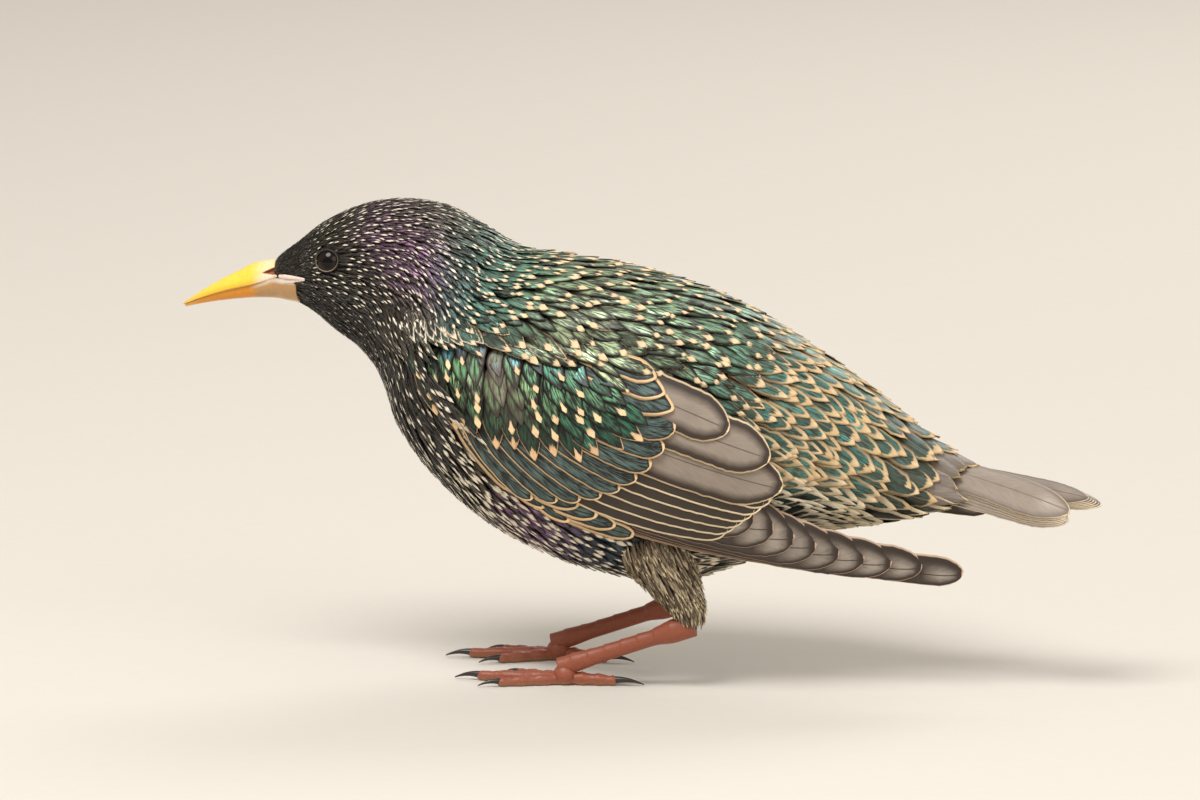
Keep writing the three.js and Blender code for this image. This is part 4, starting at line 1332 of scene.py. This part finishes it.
def tertials():
    """The three broad feathers that cover the closed wing, each over the one below it."""
    look = {"fringe": 0.4, "band": 2.1, "ground": "#918477", "edge": "#3f342d", "pale": "#ecd2ac",
            "gloss": 0.5, "sheen": "#9b8e81", "taper": 1.5, "point": 0.25}
    return [
        vane([32, -0.5], [88, 1.4], 6.3, 0.85, bow=-0.6, skew=-0.15, **look),
        vane([32, 5], [83.4, 7.2], 5.6, 1.05, bow=0.5, **look),
        vane([30, 8.8], [72.9, 10.2], 5.0, 1.25, bow=0.8, **look),
    ]


def greater_coverts():
    """The long coverts over the flight feathers, those below them, and the thumb's feathers."""
    look = {"ground": "#23201e", "sheen": "#7f9c95", "gloss": 0.55, "fringe": 0.72, "band": 0.8,
            "pale": "#e3c093", "edge": "#191614"}
    inner = [
        vane(on_bow([16.5, -10.5], [26, -5], [27, 6], share),
             on_bow([38, -22.5], [60.5, -14], [61.8, 7], share),
             2.8 + 1.6 * share, 1.6, bow=-1.5, point=0.35, taper=1.5, shaft_off=-0.3, skew=0.7,
             root_under=1.5 - share, **look)
        for share in shares(9)]
    highest = [
        vane([37, 8 + 2 * i], [60.2 - 3 * i, 10 + 2.2 * i], 3.6 - 0.6 * i, 1.75 + 0.05 * i, bow=0.4,
             point=0.5, taper=1.8, **look)
        for i in range(3)]
    outer = [
        vane([27, -17.5 - 2 * share], [48 + 13 * share, -19.5 - 2.2 * share], 2.4, 1.0, bow=-2,
             taper=1.8, **look)
        for share in shares(4)]
    thumb = [
        vane([13, -10.5], [35 + 6 * i, -23 - 0.7 * i], 2.4, 1.3, bow=-1.5, taper=2.0,
             root_under=1.8, **look)
        for i in range(3)]
    return inner + highest + outer + thumb


COVERT_ROWS, COVERTS_IN_ROW = 7, 11


def covert_tip(reach, share):
    """Where a covert's tip lies: reach 0 under the upper edge, 1 over the greater coverts."""
    first = on_bow([2.5, -6], [12, 5], [45, 10.5], share)
    last = on_bow([12, -15], [40, -19], [58, 4], share)
    return mix(first, last, reach)


def lesser_coverts():
    """The median coverts and the rows of small ones above them, which hang in front."""
    rng = np.random.default_rng(33)
    tints = [linear(k) for k in ("#66759a", "#558fa0", "#92cf98", "#b8e2a2", "#5f865e", "#3a5a47")]
    teal, brown = linear("#4c8a70"), linear("#74675e")
    made = []
    for row in range(1, COVERT_ROWS):
        reach = row / (COVERT_ROWS - 1)
        last = row == COVERT_ROWS - 1
        for i in range(COVERTS_IN_ROW):
            share = (i + 0.5 * (row % 2)) / (COVERTS_IN_ROW - 0.5)
            share = np.clip(share + rng.normal(0, 0.012), 0, 1)
            place = reach + rng.normal(0, 0.03)
            tip = covert_tip(place, share)
            way = np.interp(share, [0, 0.3, 0.55, 0.8, 1], [-58, -68, -60, -38, -16]) * DEGREES
            way += rng.normal(0, 0.06)
            length = mix(4.0, 16, reach ** 0.9) * (1 + rng.normal(0, 0.06))
            root = tip - length * np.array([math.cos(way), math.sin(way)])
            worn = math.exp(-((share - 0.46) / 0.1) ** 2 - ((place - 0.4) / 0.33) ** 2)
            tint = np.array([np.interp(place, [0, 0.15, 0.35, 0.55, 0.75, 1], part)
                             for part in np.transpose(tints)])
            tint = mix(tint, teal, 0.7 * float(smooth((share - 0.55) / 0.2)))
            bare = worn > 0.3 or rng.random() < mix(0.4, 0.08, reach) + 0.5 * (share > 0.85)
            made.append(vane(
                root, tip, mix(2.3, 2.95, reach) * (1 + rng.normal(0, 0.06)),
                2.15 + 0.12 * (COVERT_ROWS - 1 - row), bow=-0.6, point=0.7, taper=2.4, base=0.3,
                root_under=mix(4.2, 1.6, min(1, 2.5 * reach)), notch=2.4, tilt=0.15,
                fringe=0.22 if last else -1.0, mark=-1.0 if bare else mix(2.0, 3.3, reach),
                ground=mix(linear("#1b1d19"), brown, worn),
                sheen=tint * (1 + 0.3 * rng.normal(0, 1)), gloss=0.95 - 0.8 * worn,
                pale="#e0b98c" if last else "#eecda0"))
    return made


def tail_feathers():
    """Six feathers a side; the left side lies over the right one, which reaches further back."""
    look = {"taper": 2.6, "point": 0.2, "fringe": 0.3, "band": 0.6, "gloss": 0.6, "bow": 0.6,
            "ground": "#96887b", "sheen": "#c3b6aa", "edge": "#62554b", "pale": "#dfccae"}
    # The right side's feathers are the left side's in darker colours: painted shade, for the side
    # that lies under the left one and away from the key light
    far = {**look, "ground": "#75675b", "sheen": "#9c8d80", "edge": "#4a3f37"}
    made = []
    for i, share in enumerate(shares(6)):
        made.append(vane([6, 3.5 + share], [54 + 3 * share, 1.6 - 0.8 * share], 4.6 - 0.4 * share,
                         -0.9 - 0.1 * i, tilt=0.1, shaft_off=0.3 * share, **far))
        made.append(vane([6, 4.2 - 6.2 * share], [50.5, -4.2 - 1.2 * share], 4.8 - share,
                         -0.12 * i, tilt=-0.1, shaft_off=-0.3 * share, **look))
    return made


def vane_birds(vanes, rng, thick):
    """Arrays for lay_vanes from a list of single vanes."""
    count = len(vanes)
    runs = np.array([np.subtract(v["tip"], v["root"]) for v in vanes], float)
    length = np.linalg.norm(runs, axis=1)

    def of(key):
        return np.array([v[key] for v in vanes], float)

    birds = {
        "length": length, "half": of("half"), "seed": rng.random(count), "base": of("base"),
        "point": of("point"), "taper": of("taper") * of("half") / length, "skew": of("skew"),
        "shaft_off": of("shaft_off"), "ragged": 0.02,
        "root_out": of("layer") - of("root_under"), "tip_out": of("layer"),
        "lift": 0.5, "camber": 0.03, "roll": of("tilt") / of("half"), "thick": thick,
        "marks": stack(of("notch"), of("mark"), of("fringe")),
        "band": stack(of("band"), of("shaft"), of("gloss")),
    }
    for key in VANE_COLOURS:
        tint = np.array([linear(v[key]) if isinstance(v[key], str) else v[key] for v in vanes])
        birds[key] = (tint * (1 + 0.06 * rng.normal(0, 1, (count, 1)))).clip(0, 1)
    return birds


def sheet_place(vanes, sheet):
    """place() for vanes that run from root to tip over a sheet, with a bow."""
    root = np.array([v["root"] for v in vanes], float)[:, None]
    run = np.array([v["tip"] for v in vanes], float)[:, None] - root
    length = np.linalg.norm(run, axis=-1)
    side = stack(-run[..., 1], run[..., 0]) / length[..., None]
    bow = np.array([v["bow"] for v in vanes], float)[:, None]

    def place(across, along, out):
        s = along / length
        shift = across + bow * 4 * s * (1 - s)
        middle = root + run * s[..., None] + side * shift[..., None]
        return sheet(middle[..., 0], middle[..., 1], out)
    return place


def wing_core(name):
    """The flesh and the hidden roots that the wing's feathers grow from."""
    rings = []
    for along in np.linspace(4, 84, 24):
        top, bottom = wing_rims(along)
        deep = mix(7.0, 1.0, smooth((along - 50) / 30))
        levels = np.linspace(bottom + 2.2, top - 2.2, 9)
        rings.append(np.concatenate([wing_sheet(name, along, levels, -0.6),
                                     wing_sheet(name, along, levels[::-1], -0.6 - deep)]))
    return tube(rings)


@piece_operator
class STARLING_OT_wings(bpy.types.Operator):
    """Folded wings: flight feathers, greater coverts and the small coverts of the shoulder"""

    bl_idname = "starling.wings"
    bl_label = "Wings"

    def execute(self, context):
        thick = context.scene.starling_sizes.vane_thickness / MM
        for name, side in SIDES.items():
            solid_piece(f"wing_{name}_core", [wing_core(name)], skin_with_down(),
                        linear("#2b2622"), lean=True)
            groups = [
                ("flight", primaries() + secondaries() + tertials(), satin_flight_feather(),
                 (13, 41, 2.0)),
                ("greater_coverts", greater_coverts(), dark_greater_covert(), (9, 25, 1.7)),
                ("lesser_coverts", lesser_coverts(), silky_covert_feather(), (9, 15, 1.4)),
            ]
            for label, vanes, finish, grid in groups:
                birds = vane_birds(vanes, np.random.default_rng(31), thick)
                place = sheet_place(vanes, partial(wing_sheet, name))
                piece = lay_vanes(f"wing_{name}_{label}", place, birds, grid, finish,
                                  flip=side < 0)
                if label == "flight":
                    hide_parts(f"wing_{name}")
        return {"FINISHED"}


@piece_operator
class STARLING_OT_tail(bpy.types.Operator):
    """Twelve tail feathers on a shallow roof"""

    bl_idname = "starling.tail"
    bl_label = "Tail"

    def execute(self, context):
        thick = context.scene.starling_sizes.vane_thickness / MM
        vanes = tail_feathers()
        birds = vane_birds(vanes, np.random.default_rng(41), thick)
        piece = lay_vanes("tail_feathers", sheet_place(vanes, tail_sheet), birds, (13, 41, 1.8),
                          satin_flight_feather(), flip=True)
        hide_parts("tail")
        return {"FINISHED"}


# Bare parts

@piece_operator
class STARLING_OT_bill(bpy.types.Operator):
    """Both halves of the bill with the nostrils and the soft gape"""

    bl_idname = "starling.bill"
    bl_label = "Bill"

    def execute(self, context):
        for name, upper in (("bill_upper", True), ("bill_lower", False)):
            piece = solid_piece(
                name + "_horn", [bill_half(upper), *gape(upper)], horn_of_the_bill(),
                partial(bill_colours, upper=upper))
            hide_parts(name)
        return {"FINISHED"}


# The nostril is a wedge: its point ahead, and its two corners against the feathers
NOSTRIL_POINT, NOSTRIL_LOW, NOSTRIL_HIGH = (-85.7, 88.1), (-82.9, 87.9), (-82.9, 89.4)
NOSTRIL_DEEP = 0.8


def in_nostril(x, z):
    """How deep inside the nostril's outline a point is, from 0 at its edge to 1."""
    share = (x - NOSTRIL_POINT[0]) / (NOSTRIL_LOW[0] - NOSTRIL_POINT[0])
    middle = mix(NOSTRIL_POINT[1], (NOSTRIL_LOW[1] + NOSTRIL_HIGH[1]) / 2, share)
    half = (NOSTRIL_HIGH[1] - NOSTRIL_LOW[1]) / 2 * np.clip(share, 0.05, 1)
    return smooth((half - abs(z - middle)) / 0.35 + 0.3) * smooth(share / 0.2)


def bill_half(upper):
    """Half of the bill, flat along the mouth line; the lower one ends just short of the tip."""
    at = np.linspace(0, len(BILL) - 1, 180)
    x, ridge, mouth, keel, half, jaw = (through(BILL[:, k], at) for k in range(6))
    if not upper:
        line = x
        x = mix(x[0], x, LOWER_BILL_SHARE)
        mouth = np.interp(-x, -line, mouth)
    turn = np.linspace(0, math.pi, 65)
    rise = np.sin(turn)[None] ** 0.9
    out = (np.sign(np.cos(turn)) * np.abs(np.cos(turn)) ** 0.8)[None]
    sign = 1 if upper else -1
    gap = 0.11 * (1 - smooth((at - 5) / 1.5))
    flat = (mouth - sign * gap)[:, None]
    edge = (ridge if upper else keel)[:, None]
    width = (half if upper else jaw * 0.97)[:, None]
    rings = stack(x[:, None], width * out, flat + (edge - flat) * rise)
    if upper:
        pit = NOSTRIL_DEEP * in_nostril(rings[..., 0], rings[..., 2])
        rings[..., 1] -= np.sign(rings[..., 1]) * pit * (abs(rings[..., 1]) > 1.5)
    return tube(rings if sign > 0 else rings[:, ::-1])


def head_half(x, z):
    """How far the bare head reaches sideways at a place."""
    low, high = 0.0, 6.0
    for _ in range(30):
        at = np.array((low + high) / 2)
        back, belly = body_surface(at, np.array(0.0)), body_surface(at, np.array(math.pi))
        down = (back[2] - z) / (back[2] - belly[2])
        if back[0] + (belly[0] - back[0]) * down < x:
            low = float(at)
        else:
            high = float(at)
    rise = abs(2 * min(max(down, 0), 1) - 1) ** BODY_SQUARENESS
    return float(through(BODY[:, 4], np.array(low))) * (1 - rise) ** (1 / BODY_SQUARENESS)


# Where the soft edge of the mouth starts on the bill, and its corner below the eye: x, z
GAPE_FRONT, GAPE_CORNER = (-84.5, 86.9), (-74.3, 87.9)


def gape(upper):
    """The soft edge of the mouth on both sides, from the bill to the corner below the eye."""
    parts = []
    sign = 1 if upper else -1
    for side in (-1, 1):
        rings = []
        for share in np.linspace(0, 1, 14):
            x, z = (mix(front, corner, share) for front, corner in zip(GAPE_FRONT, GAPE_CORNER))
            z += sign * (0.62 - 0.5 * share ** 2)
            y = mix(3.5, max(head_half(x, z), 3.7) - 0.3, float(smooth(share * 2)))
            size = 0.62 * (1 - 0.7 * share ** 3) * (0.3 + 0.7 * min(1, share * 4))
            turn = full_turn(12)
            rings.append(stack(x, side * (y + 0.7 * size * np.cos(turn)), z + size * np.sin(turn)))
        parts.append(tube(rings))
    return parts


def bill_colours(points, upper):
    """Yellow and orange horn that pales to cream and tan at the base."""
    x, _, z = points.T
    yellow, orange = linear("#fbd043"), linear("#dd8d0e")
    cream, tan = linear("#f3dcc0"), linear("#b98d58")
    at = np.interp(-x, -BILL[::-1, 0][::-1], np.arange(len(BILL)))
    up = z - through(BILL[:, 2], at)
    if upper:
        body = mix(linear("#f0b62c"), yellow, smooth(up / 1.5)[:, None])
        low = 1 - 0.35 * smooth((up - 0.8) / 1.2)
        body = mix(body, cream, (smooth((x + 88.5) / 4) * low)[:, None])
    else:
        body = mix(orange, tan, smooth((x + 88.5) / 2.5)[:, None])
        pale = 0.8 * smooth((82.8 - z) / 0.8) + 0.6 * smooth((up + 1.3) / 1.0)
        body = mix(body, linear("#efdfc4"), (np.clip(pale, 0, 1) * smooth((x + 89) / 3))[:, None])
    made = mix(body, linear("#e9c06a"), 0.5 * smooth((-99 - x) / 5)[:, None])
    soft = smooth((x + 83) / 2) * smooth((1.2 - abs(up)) / 0.6)
    made = mix(made, linear("#e8d5c8"), soft[:, None])
    made = mix(made, linear("#6b4a38"), smooth((0.25 - abs(up)) / 0.2)[:, None] * 0.6)
    if upper:
        pit = in_nostril(x, z)
        made = mix(made, linear("#c96a1c"), smooth(pit / 0.3)[:, None])
        made = mix(made, linear("#7d3510"), smooth((pit - 0.45) / 0.5)[:, None])
    return made


@piece_operator
class STARLING_OT_eyes(bpy.types.Operator):
    """Eyes with a dark iris, set in their lids"""

    bl_idname = "starling.eyes"
    bl_label = "Eyes"

    def execute(self, context):
        for name, side in SIDES.items():
            polar, turn = np.linspace(0.02, math.pi - 0.02, 40)[:, None], full_turn(64)
            rings = stack(
                EYE_X + EYE_RADIUS * np.sin(polar) * np.cos(turn),
                side * (EYE_OUT - EYE_RADIUS + EYE_RADIUS * np.cos(polar)),
                EYE_Z + EYE_RADIUS * np.sin(polar) * np.sin(turn))
            piece = solid_piece(f"eyeball_{name}", [tube(rings)], wet_eye(), eye_colours)
            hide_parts(f"eye_{name}")
            make_lid(name, side)
        return {"FINISHED"}


def eye_colours(points):
    """A black pupil in a dark brown iris that darkens towards its rim."""
    off = np.hypot(points[:, 0] - EYE_X, points[:, 2] - EYE_Z)[:, None]
    iris = mix(linear("#1f120c"), linear("#0d0806"), smooth((off - 1.9) / 0.5))
    return mix(linear("#030303"), iris, smooth((off - PUPIL_RADIUS) / 0.12))


# The lid's cross-section: pairs of a radius and a height over the eye's middle
LID_PROFILE = [(2.32, 2.2), (2.33, 2.4), (2.44, 2.55), (2.56, 2.5), (2.66, 2.25), (2.9, 1.8),
               (3.3, 1.1), (3.9, 0.1), (3.7, -0.2), (3.0, 0.5), (2.5, 1.6)]
LID_CANT, LID_ROLL = 8, 10  # how it turns with the head's side, in degrees
LID_BEADS = 26


def make_lid(name, side):
    """A ring of bare skin round the eye, slightly beaded and longer than high."""
    turn = full_turn(72)[:, None]
    radius, height = np.transpose(LID_PROFILE)
    beads = 1 + 0.012 * np.sin(turn * LID_BEADS)
    ring = stack(radius * beads * 1.06 * np.cos(turn), height, radius * beads * 0.97 * np.sin(turn))
    tilt = Matrix.Rotation(LID_CANT * DEGREES, 3, "Z") @ Matrix.Rotation(LID_ROLL * DEGREES, 3, "X")
    ring = ring @ np.array(tilt).T
    ring[..., 1] = side * (ring[..., 1] + EYE_OUT - EYE_RADIUS)
    ring[..., 0] += EYE_X
    ring[..., 2] += EYE_Z
    a = np.arange(ring[..., 0].size).reshape(ring.shape[:2])
    b = np.roll(a, -1, 0)
    faces = stack(a, b, np.roll(b, -1, 1), np.roll(a, -1, 1)).reshape(-1, 4).tolist()
    low = (1 - np.sin(turn)) / 2
    pale = smooth((2.66 - radius) / 0.2) * (0.1 + 0.9 * low ** 2)
    tints = mix(linear("#17130f"), linear("#8d7c69"), pale.reshape(-1, 1))
    solid_piece(f"lid_{name}", [(ring.reshape(-1, 3), faces)], bare_lid_skin(), tints)


@piece_operator
class STARLING_OT_legs(bpy.types.Operator):
    """Scaled shanks, toes and claws"""

    bl_idname = "starling.legs"
    bl_label = "Legs"

    def execute(self, context):
        for name, (y, forward) in STANCE.items():
            shank = solid_piece(f"shank_{name}", [shank_tube(y, forward)], scaled_leg_skin(),
                                leg_colours)
            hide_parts(f"tarsus_{name}")
            toes, claws = foot_tubes(y, forward)
            piece = solid_piece(f"toes_{name}", toes, scaled_leg_skin(), leg_colours)
            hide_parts(f"foot_{name}")
            solid_piece(f"claws_{name}", claws, dark_claw_horn(), linear("#2b211c"))
        return {"FINISHED"}


def leg_colours(points):
    """Reddish brown, and paler under the toes."""
    low = smooth((1.3 - points[:, 2]) / 1.0)[:, None]
    return mix(linear("#8f4a30"), linear("#a07a58"), low * 0.7)


def ringed(centres, radii, sides, depth=1.0):
    """Rings round a line of centres, upright across y where the line allows."""
    across, fore = limb_axes(np.gradient(centres, axis=0))
    turn = full_turn(sides)
    return (centres[:, None] + across[:, None] * (radii[:, None] * np.sin(turn))[..., None]
            + fore[:, None] * (radii[:, None] * depth * np.cos(turn))[..., None])


def shank_tube(y, forward):
    """The shank, with a row of scutes down its front."""
    share = np.linspace(-0.04, 1.04, 140)
    x = mix(ANKLE[0], FOOT_JOINT[0], share) - forward
    z = mix(ANKLE[1], FOOT_JOINT[1], share)
    slim = np.interp(share, [0, 0.12, 0.3, 0.7, 0.9, 1], [1, 0.95, 0, 0, 0.95, 1])
    end = np.where(share < 0.5, ANKLE[2], FOOT_JOINT[2])
    radius = mix(TARSUS_MIDDLE, end, smooth(slim))
    rings = ringed(stack(x, y, z), radius, 40, TARSUS_DEPTH)
    front = smooth((-np.cos(full_turn(40)) + 0.2) / 0.6)
    scute = (share * SHANK_SCUTES) % 1
    raised = 0.16 * (scute ** 2 - smooth((scute - 0.9) / 0.1) * scute ** 2)
    middle = rings.mean(1, keepdims=True)
    return tube(rings + unit(rings - middle) * (raised[:, None] * front[None])[..., None])


def foot_tubes(y, forward):
    """Four toes that lie on the floor, with a pad under each joint, and their claws."""
    side = math.copysign(1, y)
    toes, claws = [], []
    for heading, length, claw, size in TOES:
        way = np.array([math.cos(heading * DEGREES), -side * math.sin(heading * DEGREES)])
        start = np.array([FOOT_JOINT[0] - forward, y])
        share = np.linspace(-0.06, 1, 90)
        pad = 1 + 0.1 * np.cos(share * 6 * math.pi)
        radius = size * (1 - 0.3 * share) * pad
        radius = radius * np.sqrt(np.clip(1 - ((share - 0.9) / 0.13).clip(0, 1) ** 2, 0.08, 1))
        scute = (share * length / TOE_SCUTE) % 1
        centres = stack(start[0] + way[0] * share * length, start[1] + way[1] * share * length,
                        size * (1 - 0.3 * share) * 0.95)
        rings = ringed(centres, radius, 24)
        lift = rings[..., 2] - centres[:, None, 2]
        upper = smooth(lift / 0.6)
        step = 0.10 * (1 - scute) * smooth(scute / 0.12)
        rings[..., 2] += upper * step[:, None]
        rings[..., 2] = np.maximum(rings[..., 2], 0.0)
        toes.append(tube(rings))
        base = size * 0.62
        part = np.linspace(0, 1, 24)
        reach = length - CLAW_SUNK + (claw + CLAW_SUNK) * part
        height = mix(base + 0.15, 0.4, part ** 1.6) + 1.7 * part * (1 - part)
        centres = stack(start[0] + way[0] * reach, start[1] + way[1] * reach, height)
        claws.append(tube(ringed(centres, mix(base, 0.12, part ** 0.9), 16)))
    part = np.linspace(-1, 1, 14)
    ball = 2.5 * np.sqrt(np.clip(1 - part ** 2, 0.02, 1))
    rings = ringed(stack(FOOT_JOINT[0] - forward + part * 2.6, y, 2.2), ball, 24)
    rings[..., 2] = np.maximum(rings[..., 2], 0.0)
    toes.append(tube(rings))
    return toes, claws


@piece_operator
class STARLING_OT_stage(bpy.types.Operator):
    """Pale floor, soft studio light and the camera"""

    bl_idname = "starling.stage"
    bl_label = "Floor, Light and Camera"

    def execute(self, context):
        mesh = bpy.data.meshes.new("floor")
        far = FLOOR_REACH
        mesh.from_pydata([(-far, -far, 0), (far, -far, 0), (far, far, 0), (-far, far, 0)], [],
                         [(0, 1, 2, 3)])
        mesh.materials.append(pale_studio_paper())
        floor = bpy.data.objects.new("floor", mesh)
        context.scene.collection.objects.link(floor)
        world = bpy.data.worlds.new("studio")
        world.use_nodes = True
        world.node_tree.nodes["Background"].inputs["Color"].default_value = rgba("#e9e2d8")
        world.node_tree.nodes["Background"].inputs["Strength"].default_value = 0.6
        context.scene.world = world
        soft_light("key", (-0.3, -0.8, 1.4), 0.9, 22.5)
        soft_light("fill", (0.9, -0.9, 0.7), 1.0, 4)
        soft_light("rim", (0.3, 1.2, 1.0), 0.8, 8)
        context.scene.view_settings.view_transform = "Standard"
        stand_camera(context)
        return {"FINISHED"}


def soft_light(name, place, size, power):
    """A round area light, so wide that its shadows have soft edges, aimed at the bird's body."""
    data = bpy.data.lights.new(name, "AREA")
    data.shape = "DISK"
    data.size = size
    data.energy = power
    light = bpy.data.objects.new(name, data)
    light.location = place
    aim = Vector(LIGHTS_AIM) - Vector(place)
    light.rotation_euler = aim.to_track_quat("-Z", "Y").to_euler()
    bpy.context.scene.collection.objects.link(light)


FLOOR_REACH = 30.0  # metres
LIGHTS_AIM = (0, 0, 0.06)  # metres

# The photograph's framing: its scale at the bird, and where the bird's own origin shows in it
PHOTO_WIDTH, PHOTO_HEIGHT = 1200, 800
PIXELS_PER_MM = 4.5
ORIGIN_PIXEL = (641.5, 675.0)
VIEW_AZIMUTH, VIEW_ELEVATION = 12, 9


def stand_camera(context):
    """A camera that frames the bird as the photograph does, from as far as the user has set."""
    azimuth, elevation = VIEW_AZIMUTH * DEGREES, VIEW_ELEVATION * DEGREES
    right = Vector((math.cos(azimuth), math.sin(azimuth), 0))
    level = math.cos(elevation)
    back = Vector((math.sin(azimuth) * level, -math.cos(azimuth) * level, math.sin(elevation)))
    up = back.cross(right)
    across = (PHOTO_WIDTH / 2 - ORIGIN_PIXEL[0]) / PIXELS_PER_MM
    above = (ORIGIN_PIXEL[1] - PHOTO_HEIGHT / 2) / PIXELS_PER_MM
    target = right * across + up * above + Vector(SHIFT)
    data = bpy.data.cameras.new("camera")
    distance = context.scene.starling_sizes.camera_distance
    data.sensor_width = 36
    data.lens = data.sensor_width * distance / (PHOTO_WIDTH / PIXELS_PER_MM * MM)
    data.clip_start, data.clip_end = 0.05, 100
    camera = bpy.data.objects.new("camera", data)
    camera.location = target * MM + back * distance
    camera.rotation_euler = (-back).to_track_quat("-Z", "Y").to_euler()
    context.scene.collection.objects.link(camera)
    context.scene.camera = camera


class STARLING_PT_sidebar(bpy.types.Panel):
    """Sizes, colours and one button for each group of pieces"""

    bl_idname = "STARLING_PT_sidebar"
    bl_label = "Starling"
    bl_space_type = "VIEW_3D"
    bl_region_type = "UI"
    bl_category = "Starling"

    def draw(self, context):
        for group in (context.scene.starling_sizes, context.scene.starling_colours):
            for key in group.__annotations__:
                self.layout.prop(group, key)
        for step in STEPS:
            self.layout.operator(step.bl_idname)


CLASSES = [StarlingSizes, StarlingColours, *STEPS, STARLING_PT_sidebar]


def register():
    for cls in CLASSES:
        bpy.utils.register_class(cls)
    bpy.types.Scene.starling_sizes = bpy.props.PointerProperty(type=StarlingSizes)
    bpy.types.Scene.starling_colours = bpy.props.PointerProperty(type=StarlingColours)


def unregister():
    del bpy.types.Scene.starling_colours
    del bpy.types.Scene.starling_sizes
    for cls in reversed(CLASSES):
        bpy.utils.unregister_class(cls)


def main():
    """Builds the bird and its stage."""
    register()
    for step in STEPS:
        group, name = step.bl_idname.split(".")
        getattr(getattr(bpy.ops, group), name)()


if __name__ == "__main__":
    main()
